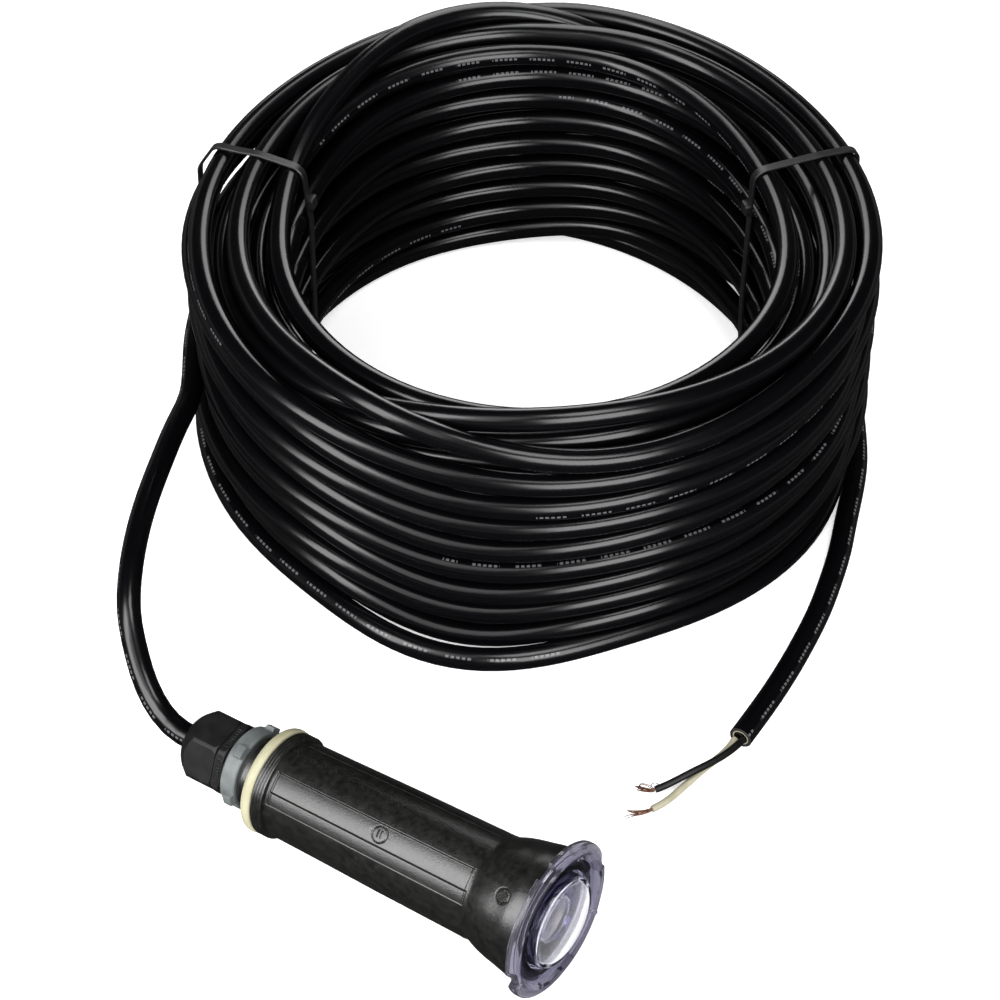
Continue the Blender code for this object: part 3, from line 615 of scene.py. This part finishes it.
def turned(name, loop, slot, node, material=None, body="light", columns=480, relief=None,
           rounding=0.25, step=None, closed=True, smooth_angle=30, upright=False):
    """A piece turned round the light's axis from (radius, station) in mm, with relief added.
    An upright one keeps its mesh along Z, for a material that measures from the axis."""
    points = filleted(loop, rounding, closed) if rounding else [np.array(p, float) for p in loop]
    if step:
        points = dense(points, step, closed)
    section = np.array(points)
    azimuth = 2 * np.pi * np.arange(columns) / columns
    radius = np.repeat(section[:, :1], columns, axis=1)
    station = np.repeat(section[:, 1:], columns, axis=1)
    if relief:
        radius, station = relief(radius, station, azimuth[None, :])
    corners = np.stack([radius * np.cos(azimuth), radius * np.sin(azimuth), station], 2) * MM
    rows = len(section)
    faces = []
    for i in range(rows if closed else rows - 1):
        j = (i + 1) % rows
        for k in range(columns):
            n = (k + 1) % columns
            faces.append((i * columns + k, i * columns + n, j * columns + n, j * columns + k))
    mesh = bpy.data.meshes.new(name)
    mesh.from_pydata(corners.reshape(-1, 3).tolist(), [], faces)
    bm = bmesh.new()
    bm.from_mesh(mesh)
    bmesh.ops.remove_doubles(bm, verts=bm.verts, dist=1e-7)
    bmesh.ops.recalc_face_normals(bm, faces=bm.faces)
    bm.to_mesh(mesh)
    bm.free()
    if not upright:
        mesh.transform(LIGHT)
    piece = link(name, mesh, material or LOOKS[slot], smooth_angle)
    if upright:
        piece.matrix_world = LIGHT
    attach(piece, body)
    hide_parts(node)


def from_up(azimuth):
    """Degrees round the light from its upper side."""
    return np.degrees(azimuth) - 180


def line(value, centre, half_width):
    """1 at the centre, falling off softly to either side."""
    return np.exp(-((value - centre) / half_width) ** 2)


def span(value, low, high, soft):
    """1 between low and high, with soft ends."""
    return ease(value, low - soft, low + soft) * (1 - ease(value, high - soft, high + soft))


HEX_ACROSS = 27.0            # mm over the flats, of the nut and of the collar
HEX_OUTSIDE = 11.4           # mm; what is nearer the axis stays round
HEX_CORNER = 33              # degrees round from the light's upper side


def from_flat(azimuth):
    """Degrees round from the middle of the nearest flat of the hexagon."""
    return (from_up(azimuth) - HEX_CORNER) % 60 - 30


def hexagon(radius, azimuth):
    """The radius cut to the flats of a hexagon."""
    return np.minimum(radius, HEX_ACROSS / 2 / np.cos(np.radians(from_flat(azimuth))))


def dome(front, edge_radius, edge_station, count=14):
    """Half of a shallow dome's section, from its middle to its edge."""
    t = np.linspace(0, 1, count)
    return [(float(edge_radius * x), float(front - (front - edge_station) * x * x)) for x in t]


def make_gland():
    """The dome nut, the gland body with its thread and marked collar, and the locknut."""
    def nut_relief(radius, station, azimuth):
        return np.where(radius > HEX_OUTSIDE, hexagon(radius, azimuth), radius), station

    turned("gland_nut_shell", [
        (5.2, 4.5), (6.8, 4.5), (8.6, 4.9), (10.4, 5.9), (12.0, 7.5), (13.7, 9.8), (15.2, 12.0),
        (15.2, 22.4), (14.3, 23.2), (11.2, 23.2), (11.2, 8.7), (5.2, 8.2)],
        "black_nylon", "gland_nut", body="gland_nut",
        relief=nut_relief, rounding=0.5, step=0.6, smooth_angle=24, columns=720)

    def body_relief(radius, station, azimuth):
        thread = (radius < 10.6) & (radius > 9) & (station > 27.6) & (station < 43.6)
        wave = 0.25 * np.cos(2 * np.pi * station / 1.5 - azimuth) - 0.25
        across = HEX_ACROSS / 2 * np.tan(np.radians(from_flat(azimuth)))
        window = span(across, -4.6, 4.6, 0.12) * span(station, 24.3, 26.5, 0.1)
        rim = window - span(across, -4.2, 4.2, 0.12) * span(station, 24.65, 26.15, 0.1)
        bars = span(across, -3.8, 3.8, 0.1) * span(station, 24.9, 25.9, 0.1)
        bars = bars * ease(np.sin(2 * np.pi * across / 1.25), 0.1, 0.6)
        flat = hexagon(radius, azimuth) + (radius > 14.4) * (0.22 * rim + 0.2 * bars)
        return np.where(radius > HEX_OUTSIDE, flat, radius + thread * wave), station

    turned("gland_body_shell", [
        (5.0, 43.9), (10.4, 43.9), (10.4, 27.3), (14.2, 27.3), (15.2, 26.5), (15.2, 24.1),
        (14.6, 23.5), (10.9, 23.5), (10.9, 15.6), (8.5, 15.6), (8.5, 22.3), (5.0, 22.3)],
        "black_nylon", "gland_body", relief=body_relief,
        step=0.3, smooth_angle=24, columns=540)

    def locknut_relief(radius, station, azimuth):
        turn = (from_up(azimuth) - 21 + 36) % 72 - 36
        across = np.radians(turn) * 16.5
        lug = span(across, -2.5, 2.5, 0.2) * span(station, 31, 34.8, 0.2)
        return radius + (radius > 14.9) * 1.75 * lug, station

    turned("locknut_ring", [
        (10.7, 28.0), (14.4, 28.0), (15.6, 29.0), (15.6, 34.7), (15.1, 35.2), (10.7, 35.2)],
        "grey_nylon", "locknut", body="locknut",
        relief=locknut_relief, step=0.35)


def housing_relief(radius, station, azimuth):
    """Moulded pads, their outlines and two round marks on the tube, and grooves by the ring."""
    turn = from_up(azimuth)
    quarter = turn % 90
    full = span(station, 52.6, 140.2, 0.2)
    longest = span(station, 52.3, 140.4, 0.2)
    wide_pad = span(quarter, 23.4, 47.8, 0.4) * span(station, 52.8, 139.6, 0.2)
    narrow_pad = span(quarter, 49.0, 62.5, 0.3) * span(station, 53.4, 139.7, 0.2)
    ridges = (line(quarter, 23.0, 0.42) + line(quarter, 24.7, 0.42)) * full
    ridges += (line(station, 140.0, 0.16) + line(station, 139.4, 0.16)) * span(quarter, 23, 30, 0.4)
    grooves = line(quarter, 48.3, 0.6) * longest
    grooves += 0.5 * line(quarter, 63.0, 0.4) * longest
    grooves += line(station, 140.1, 0.22) * span(quarter, 48.3, 63, 0.4)
    pad_foot = 0.8 * (line(station, 52.2, 0.2) + line(station, 53.1, 0.2))
    grooves += pad_foot * span(quarter, 23, 63, 0.4)
    rise = 0.16 * wide_pad + 0.22 * ridges + 0.12 * narrow_pad - 0.34 * grooves
    for groove in (47.5, 48.7, 49.9):
        rise = rise - 0.2 * line(station, groove, 0.15)

    def mark_place(middle_turn, tube_radius, middle_station):
        """Distances from a round mark's middle, in mm: across, along and straight."""
        across = np.radians(turn - middle_turn) * tube_radius
        along = station - middle_station
        return across, along, np.hypot(across, along)

    across, along, reach = mark_place(35.6, 19.8, 100.5)
    rise = rise - 0.26 * line(reach, 3.1, 0.2) - 0.05 * (reach < 3.1)
    rise = rise + 0.16 * line(np.abs(along), 0.7, 0.26) * span(across, -1.4, 1.4, 0.15)

    across, along, reach = mark_place(35.0, 24.0, 155.5)
    rise = rise - 0.24 * line(reach, 2.85, 0.2)
    rise = rise + 0.24 * ease(np.sin(4.6 * (across + along)), -0.2, 0.4) * (reach < 2.4)
    outer_surface = radius > 18.2
    return radius + outer_surface * rise, station


def make_housing():
    """The tube with its neck, shoulder and bell, and the ring round the neck."""
    stations = np.concatenate([
        np.arange(50.8, 54.2, 0.14), np.arange(54.2, 97, 1.8), np.arange(97, 104, 0.24),
        np.arange(104, 138.6, 1.8), np.arange(138.6, 141.4, 0.12), np.arange(141.4, 152, 0.5),
        np.arange(152, 159, 0.24), np.arange(159, 165.4, 0.7)])
    outline_u = [50.8, 54, 72, 101, 130, 141.5, 143.5, 145.8, 150.4, 155, 159.6, 165.9]
    outline_r = [18.65, 18.65, 18.94, 19.55, 19.9, 20.1, 20.97, 21.9, 23.1, 23.95, 25.0, 25.3]
    soft = np.interp(stations, outline_u, outline_r)
    inside = (stations > 139) & (stations < 164)
    for _ in range(2):
        behind = np.interp(stations - 0.9, stations, soft)
        ahead = np.interp(stations + 0.9, stations, soft)
        soft = np.where(inside, (behind + ahead + soft) / 3, soft)
    outline = [(float(r), float(u)) for r, u in zip(soft, stations)]
    neck = [(5.0, 49.0), (5.0, 44.3), (10.7, 44.3), (10.7, 36.6), (14.5, 36.6), (14.8, 36.9),
            (14.8, 41.4), (15.75, 41.4), (15.75, 46.4), (20.0, 46.4), (20.3, 46.7)]
    shoulder = [(20.3, float(u)) for u in np.arange(46.9, 50.5, 0.12)] + [(20.0, 50.8)]
    bore = [(25.3, 165.9), (22.8, 165.9), (22.0, 152.0), (17.3, 142.0), (16.0, 50.0), (15.0, 49.0)]
    turned("housing_shell", neck + shoulder + outline + bore, "housing_black",
           "housing", relief=housing_relief, rounding=0, columns=840)
    ring = [(18.4 + 2.3 * math.copysign(abs(math.cos(a)) ** 0.85, math.cos(a)),
             43.8 + 2.3 * math.copysign(abs(math.sin(a)) ** 0.85, math.sin(a)))
            for a in np.linspace(0, 2 * math.pi, 36, endpoint=False)]
    turned("neck_ring", ring, "cream_rubber", "sealing_ring",
           rounding=0, columns=200, smooth_angle=60)


FLANGE_R, NOTCH_R, POST_R = 29.8, 29.0, 24.3    # mm


def make_front():
    """The lens cover, the reflector behind its dome and the optic over the LED."""
    def cover_relief(radius, station, azimuth):
        turn = from_up(azimuth)
        notch = (turn - 7 + 45) % 90 - 45
        across = np.radians(notch) * NOTCH_R
        bite = span(across, -3.55, 3.55, 0.25)
        rim = np.where(radius > 26.5, np.minimum(radius, FLANGE_R - 2.6 * bite), radius)
        post = (turn - 53 + 45) % 90 - 45
        reach = np.hypot(np.radians(post) * POST_R, radius - POST_R)
        front = (station > 167) & (radius > 20)
        lift = 0.9 * (1 - ease(reach, 1.0, 1.5)) - 0.5 * (1 - ease(reach, 0.3, 0.7))
        return rim, station + front * lift

    front = dome(174.5, 16.0, 171.5) + [
        (17.0, 170.8), (17.6, 169.3), (19.3, 167.9), (21.0, 167.5), (23.0, 168.2), (24.5, 169.4),
        (25.6, 170.0), (26.4, 169.8), (29.4, 168.4), (29.8, 168.0)]
    back = [(29.8, 166.2), (29.5, 165.9), (25.7, 165.9), (25.7, 166.2), (21.9, 166.2),
            (21.9, 161.95), (20.6, 161.95), (20.6, 159.95), (21.9, 159.95), (21.9, 158.0),
            (19.2, 158.0), (19.2, 163.5), (18.0, 165.5)] + dome(171.8, 15.0, 169.2)[::-1]
    turned("lens_cover_moulding", front + back, "smoky_lens", "lens_cover", lens_material(),
           relief=cover_relief, rounding=0.2, step=0.45, closed=False, columns=720,
           smooth_angle=32, upright=True)

    t = np.linspace(0, 1, 16)
    bowl = [(float(math.sqrt(5.1 ** 2 + (14.4 ** 2 - 5.1 ** 2) * x)), float(154.3 + 10.3 * x))
            for x in t]
    shell = [(r + 0.7, u - 0.15) for r, u in bowl[:0:-1]]
    rings = [(14.9, 166.0), (17.1, 166.0), (17.1, 165.3), (15.6, 165.3)]
    turned("reflector_bowl", bowl + rings + shell, "mirror_metal",
           "reflector", rounding=0.12, columns=240)
    optic = dome(167.4, 8.2, 166.5) + [
        (8.5, 167.0), (8.9, 166.9), (9.1, 166.1), (10.8, 165.3), (12.2, 164.4), (11.4, 162.6),
        (0.0, 162.6)]
    turned("led_optic", optic, "clear_optic", "inner_optic",
           rounding=0.15, closed=False, columns=160, upright=True)


# ---------------------------------------- ties and the cut end
def hull(points):
    """The convex hull of points in a plane, anticlockwise."""
    ordered = sorted(map(tuple, points))
    halves = []
    for run in (ordered, ordered[::-1]):
        half = []
        for p in run:
            while len(half) > 1 and ((half[-1][0] - half[-2][0]) * (p[1] - half[-2][1])
                                     - (half[-1][1] - half[-2][1]) * (p[0] - half[-2][0])) <= 0:
                half.pop()
            half.append(p)
        halves += half[:-1]
    return np.array(halves)


def tie_loop(angle_degrees, slack):
    """A tight strap's middle line round one section's strands, in (radius, height), and the
    direction out of it at each point."""
    _, radius, height = SECTIONS
    section = int(round(((ENTRY_ANGLE - angle_degrees) % 360) / 360 * PER_TURN)) % PER_TURN
    count = TURNS if section < LAST_PART * PER_TURN else TURNS - 1
    around = np.linspace(0, 2 * np.pi, 24, endpoint=False)
    reach = CABLE_R + TIE_THICK / 2 + 0.15 * MM
    centres = np.stack([radius[section, :count], height[section, :count]], 1)
    rim = centres[:, None] + reach * np.stack([np.cos(around), np.sin(around)], 1)
    outline = hull(rim.reshape(-1, 2))
    outline = np.concatenate([outline, outline[:1]])
    at = np.concatenate([[0], np.cumsum(np.linalg.norm(np.diff(outline, axis=0), axis=1))])
    even = np.linspace(0, at[-1], 160, endpoint=False)
    loop = np.stack([np.interp(even, at, outline[:, 0]), np.interp(even, at, outline[:, 1])], 1)
    corner = loop - loop.mean(axis=0)
    heading = np.degrees(np.arctan2(corner[:, 1], corner[:, 0]))
    outward = corner / np.linalg.norm(corner, axis=1)[:, None]
    loop = loop + slack * bump_at(heading, 56, 30)[:, None] * outward
    tangent = np.roll(loop, -1, axis=0) - np.roll(loop, 1, axis=0)
    tangent /= np.linalg.norm(tangent, axis=1)[:, None]
    return loop, np.stack([tangent[:, 1], -tangent[:, 0]], 1)


def make_tie(name, node, slack):
    """A flat strap pulled tight round the coil, with its locking head on the inner wall."""
    loop, normal = tie_loop(TIE_ANGLES[node], slack)
    turn = math.radians(TIE_ANGLES[node])
    centre = np.array([COIL_CENTRE.x, COIL_CENTRE.y, 0])
    outwards = np.array([math.cos(turn), math.sin(turn), 0])
    sideway = np.array([-math.sin(turn), math.cos(turn), 0])
    upright = np.array([0, 0, 1])
    places = centre + outwards * loop[:, :1] + upright * loop[:, 1:]
    outs = outwards * normal[:, :1] + upright * normal[:, 1:]
    half_w, half_t, edge = TIE_WIDTH / 2, TIE_THICK / 2, 0.3 * MM
    profile = [(half_w, half_t - edge), (half_w - edge, half_t), (edge - half_w, half_t),
               (-half_w, half_t - edge), (-half_w, edge - half_t), (edge - half_w, -half_t),
               (half_w - edge, -half_t), (half_w, edge - half_t)]
    bm = bmesh.new()
    join_rings(bm, [[bm.verts.new(place + sideway * s + out * t) for s, t in profile]
                    for place, out in zip(places, outs)])
    head_height = loop[:, 1].max() - 20 * MM
    inner = int(np.argmin(loop[:, 0] + 4 * np.abs(loop[:, 1] - head_height)))
    out = outs[inner]
    basis = Matrix((sideway, np.cross(out, sideway), out)).transposed().to_4x4()
    head = Matrix.Translation(places[inner] + out * 1.5 * MM) @ basis @ Matrix.Diagonal(
        (TIE_WIDTH + 1.8 * MM, 5.2 * MM, 3.4 * MM, 1))
    box = bmesh.ops.create_cube(bm, size=1, matrix=head)
    edges = list(dict.fromkeys(edge for vert in box["verts"] for edge in vert.link_edges))
    bmesh.ops.bevel(bm, geom=edges, offset=0.7 * MM, segments=3, affect="EDGES", profile=0.5)
    bmesh.ops.recalc_face_normals(bm, faces=bm.faces)
    return still_piece(name, finished(name, bm), "tie_black", 40, node)


def wire(name, route, slot, node):
    """An insulated wire, its ends slightly rounded."""
    path = smooth_route(route, 1 * MM)
    ends = np.ones(len(path))
    ends[0], ends[-1] = 0.9, 0.93
    return still_piece(name, tube_mesh(name, path, CONDUCTOR_R * ends, 16), slot, 50, node)


def strands(name, route, spread, node, hairs=(), curls=()):
    """Bare wires that splay as they leave the insulation, and a few fine loose ones: hairs
    that drift aside as given (across, up), and curls with their own (along, up) shape, in mm."""
    path = smooth_route(route, 0.5 * MM)
    count = len(path)
    t = np.linspace(0, 1, count)
    heading = path[-1] - path[0]
    heading /= np.linalg.norm(heading)
    across = np.cross(heading, (0, 0, 1))
    bm = bmesh.new()

    def add(offset_across, offset_up, radius, line_path):
        line_path = line_path + across * offset_across[:, None]
        line_path[:, 2] = np.maximum(line_path[:, 2] + offset_up, radius)
        part = tube_mesh(name + "_part", line_path, radius, 8)
        bm.from_mesh(part)
        bpy.data.meshes.remove(part)

    for k in range(STRAND_COUNT):
        turn = 2 * math.pi * k / STRAND_COUNT + 1.2 * t + 0.3 * k * t
        splay = spread * (0.7 + 0.5 * math.sin(2.1 * k))
        reach = 0.62 * MM * (0.75 + t * (0.25 + splay))
        cut = max(4, int(count * (0.86 + 0.14 * math.cos(1.7 * k))))
        add((reach * np.cos(turn))[:cut], (0.7 * reach * np.sin(turn))[:cut], STRAND_R, path[:cut])
    beyond = path[-1] + heading * (np.arange(1, 4) * 0.5 * MM)[:, None]
    for shift, lift in hairs:
        longer = np.concatenate([path, beyond])
        s = np.linspace(0, 1, len(longer))
        add(shift * MM * s ** 1.5, lift * MM * np.sin(math.pi * s), HAIR_R, longer)
    for curl in curls:
        shape = smooth_route([(along, 0, up) for along, up in curl], 0.15) * MM
        add(0 * shape[:, 0], shape[:, 2], HAIR_R, path[0] + heading * shape[:, :1])
    return still_piece(name, finished(name, bm), "copper", 50, node)


def cut_rim():
    """The jacket's cut face, with the pale filler just inside it."""
    end = np.array(TAIL_ROUTE[-1])
    heading = end - CORD_PATH[-3]
    heading = Vector(heading / np.linalg.norm(heading))
    place = Matrix.Translation(end) @ heading.to_track_quat("Z", "Y").to_matrix().to_4x4()
    around = [2 * math.pi * k / 40 for k in range(40)]
    pieces = []
    for name, low, high, out, slot in (("jacket_rim", 3.45, 4.5, 0.35, "black_rubber"),
                                       ("jacket_filler", 2.9, 3.4, 0.22, "wire_ivory")):
        section = ((low, -0.1), (high, -0.1), (high, out - 0.15), (high - 0.15, out),
                   (low + 0.1, out), (low, out - 0.1))
        bm = bmesh.new()
        join_rings(bm, [[bm.verts.new(place @ Vector((
            radius * MM * math.cos(a), radius * MM * math.sin(a), depth * MM))) for a in around]
            for radius, depth in section])
        bmesh.ops.recalc_face_normals(bm, faces=bm.faces)
        pieces.append(still_piece(name, finished(name, bm), slot, 40))
    return pieces


def make_cut_end():
    """The cut jacket, two insulated wires and their bare strands."""
    pieces = [
        wire("insulation_black", BLACK_ROUTE, "wire_black", "conductor_black"),
        wire("insulation_white", WHITE_ROUTE, "wire_ivory", "conductor_white"),
        strands("bare_strands_black", BLACK_ROUTE[-1:] + BLACK_STRAND, 0.9, "strands_black",
                curls=BLACK_CURLS),
        strands("bare_strands_white", WHITE_ROUTE[-1:] + WHITE_STRAND, 1.2, "strands_white",
                hairs=WHITE_HAIRS)]
    return pieces + cut_rim()


# ---------------------------------------- looks of everything
def radial_plastic(name, low, high, tints, clears, ior):
    """A clear moulding whose tint and clearness follow the distance from the light's axis."""
    material, tree, shader = blank_material(name)
    place = add_node(tree, "TexCoord").outputs["Object"]
    flat = add_node(tree, "VectorMath", {0: place, 1: (1, 1, 0)}, operation="MULTIPLY")
    reach = add_node(tree, "VectorMath", {0: flat.outputs["Vector"]}, operation="LENGTH")
    share = range_node(tree, reach.outputs["Value"], 0, 1, low * MM, high * MM)
    tint, clear = (
        ramp_node(tree, share, [((radius - low) / (high - low), value) for radius, value in stops])
        for stops in (tints, clears))
    noise = noise_node(tree, place, 160, 3)
    set_inputs(tree, shader, {
        "Base Color": tint, "Transmission Weight": clear, "IOR": ior,
        "Roughness": range_node(tree, noise, 0.02, 0.10),
        "Normal": bump_node(tree, noise, 0.12, 0.0003)})
    return material


def lens_material():
    """Clear over the dome, dark in the valley round it and milky grey-violet in the flange."""
    return radial_plastic(
        "smoky_polycarbonate", 15, 30,
        [(15, (0.90, 0.90, 0.95)), (16.4, (0.80, 0.80, 0.88)), (17.5, (0.10, 0.10, 0.16)),
         (23.2, (0.10, 0.095, 0.15)), (25.5, (0.12, 0.115, 0.155)), (30, (0.30, 0.29, 0.345))],
        [(15, 1.0), (23.2, 0.97), (25.8, 0.86), (30, 0.92)], 1.32)


def optic_material():
    """A moulded optic, warm over the LED and dark violet round it, with a pale ring at its rim that is a painted
    highlight.
    """
    return radial_plastic(
        "optic_polycarbonate", 0, 12.5,
        [(0, (0.34, 0.25, 0.20)), (2.6, (0.22, 0.18, 0.17)), (4.2, (0.035, 0.030, 0.065)),
         # the pale stop at 8.5 mm is a painted highlight along the optic's rim
         (7.8, (0.045, 0.035, 0.11)), (8.5, (0.34, 0.33, 0.42)), (9.2, (0.05, 0.042, 0.10)),
         (12.5, (0.08, 0.07, 0.15))],
        [(0, 0.55), (4, 0.75), (8.5, 0.6), (9.5, 0.75), (12.5, 0.75)], 1.49)


def grey(level):
    return level, level, level


def make_looks():
    """Each material slot's look, given at once to the CAD nodes of that slot."""
    looks = {
        "black_nylon": mottled("black_nylon", grey(0.003), grey(0.006), 220, (0.42, 0.56),
                               0.22, 1400, specular=0.30),
        "grey_nylon": mottled("grey_nylon", (0.085, 0.096, 0.096), (0.125, 0.138, 0.138), 150,
                              (0.36, 0.5), 0.18, 900),
        "housing_black": mottled("housing_black", grey(0.003), (0.009, 0.009, 0.008), 420,
                                 (0.25, 0.37), 0.45, 1500, distance=0.00012, specular=0.62),
        "cream_rubber": mottled("cream_rubber", (0.29, 0.275, 0.175), (0.35, 0.335, 0.225), 90,
                                (0.5, 0.65), 0.15, 700),
        "black_rubber": mottled("black_rubber", grey(0.006), grey(0.012), 200, (0.55, 0.7),
                                0.2, 900),
        "mirror_metal": mottled("mirror_metal", (0.020, 0.018, 0.050), (0.075, 0.068, 0.14), 260,
                                (0.10, 0.26), 0.25, 700, metallic=1.0),
        "led_yellow": mottled("led_phosphor", (0.50, 0.36, 0.06), (0.60, 0.48, 0.12), 500,
                              (0.3, 0.45), 0.2, 2500),
        "thermal_grey": mottled("thermal_pad_grey", grey(0.36), grey(0.44), 260, (0.7, 0.85)),
        "board_white": mottled("board_white_mask", grey(0.42), grey(0.52), 300, (0.35, 0.5), 0.08),
        "aluminium": mottled("turned_aluminium", grey(0.62), grey(0.76), 160, (0.28, 0.42), 0.2,
                             1200, metallic=1.0),
        "steel": mottled("plated_steel", grey(0.48), grey(0.62), 300, (0.22, 0.35), 0.15, 1500,
                         metallic=1.0),
        "board_green": mottled("board_green_mask", (0.012, 0.13, 0.05), (0.025, 0.20, 0.08), 240,
                               (0.25, 0.4), 0.1),
        "epoxy_black": mottled("cast_epoxy", grey(0.016), grey(0.034), 260, (0.45, 0.65),
                               0.25, 900),
        "wire_red": mottled("wire_red", (0.42, 0.012, 0.012), (0.56, 0.03, 0.03), 240, (0.35, 0.5)),
        "wire_black": mottled("wire_black", grey(0.002), grey(0.005), 240, (0.36, 0.5), 0.2, 1100,
                              specular=0.22),
        "wire_ivory": mottled("wire_ivory", (0.28, 0.265, 0.185), (0.34, 0.32, 0.235), 180,
                              (0.38, 0.5), 0.15, 900),
        "copper": mottled("stranded_copper", (0.05, 0.022, 0.014), (0.20, 0.10, 0.06), 900,
                          (0.25, 0.42), 0.2, 3000, metallic=0.9),
        "tie_black": mottled("tie_nylon", grey(0.003), grey(0.007), 260, (0.34, 0.48), 0.15, 1200),
        "cord_black": mottled("cord_end_black", grey(0.003), grey(0.006), 200, (0.3, 0.4)),
        "clear_optic": optic_material(),
    }
    slots = {row["node"]: row["material_slot"] for row in frame["record"]["subparts"]}
    for node, piece in NODES.items():
        look = looks.get(slots[node])
        if look is None:
            continue
        for place in piece.material_slots:
            place.material = look
    return looks


make_camera()
make_stage()
LOOKS = make_looks()
CORD, CORD_PATH, CORD_LENGTH, SECTIONS = make_cord()
TIES = [make_tie("tie_strap_left", "cable_tie_left", 3.0 * MM),
        make_tie("tie_strap_right", "cable_tie_right", 0.6 * MM)]
CUT_END = make_cut_end()
make_gland()
make_housing()
make_front()
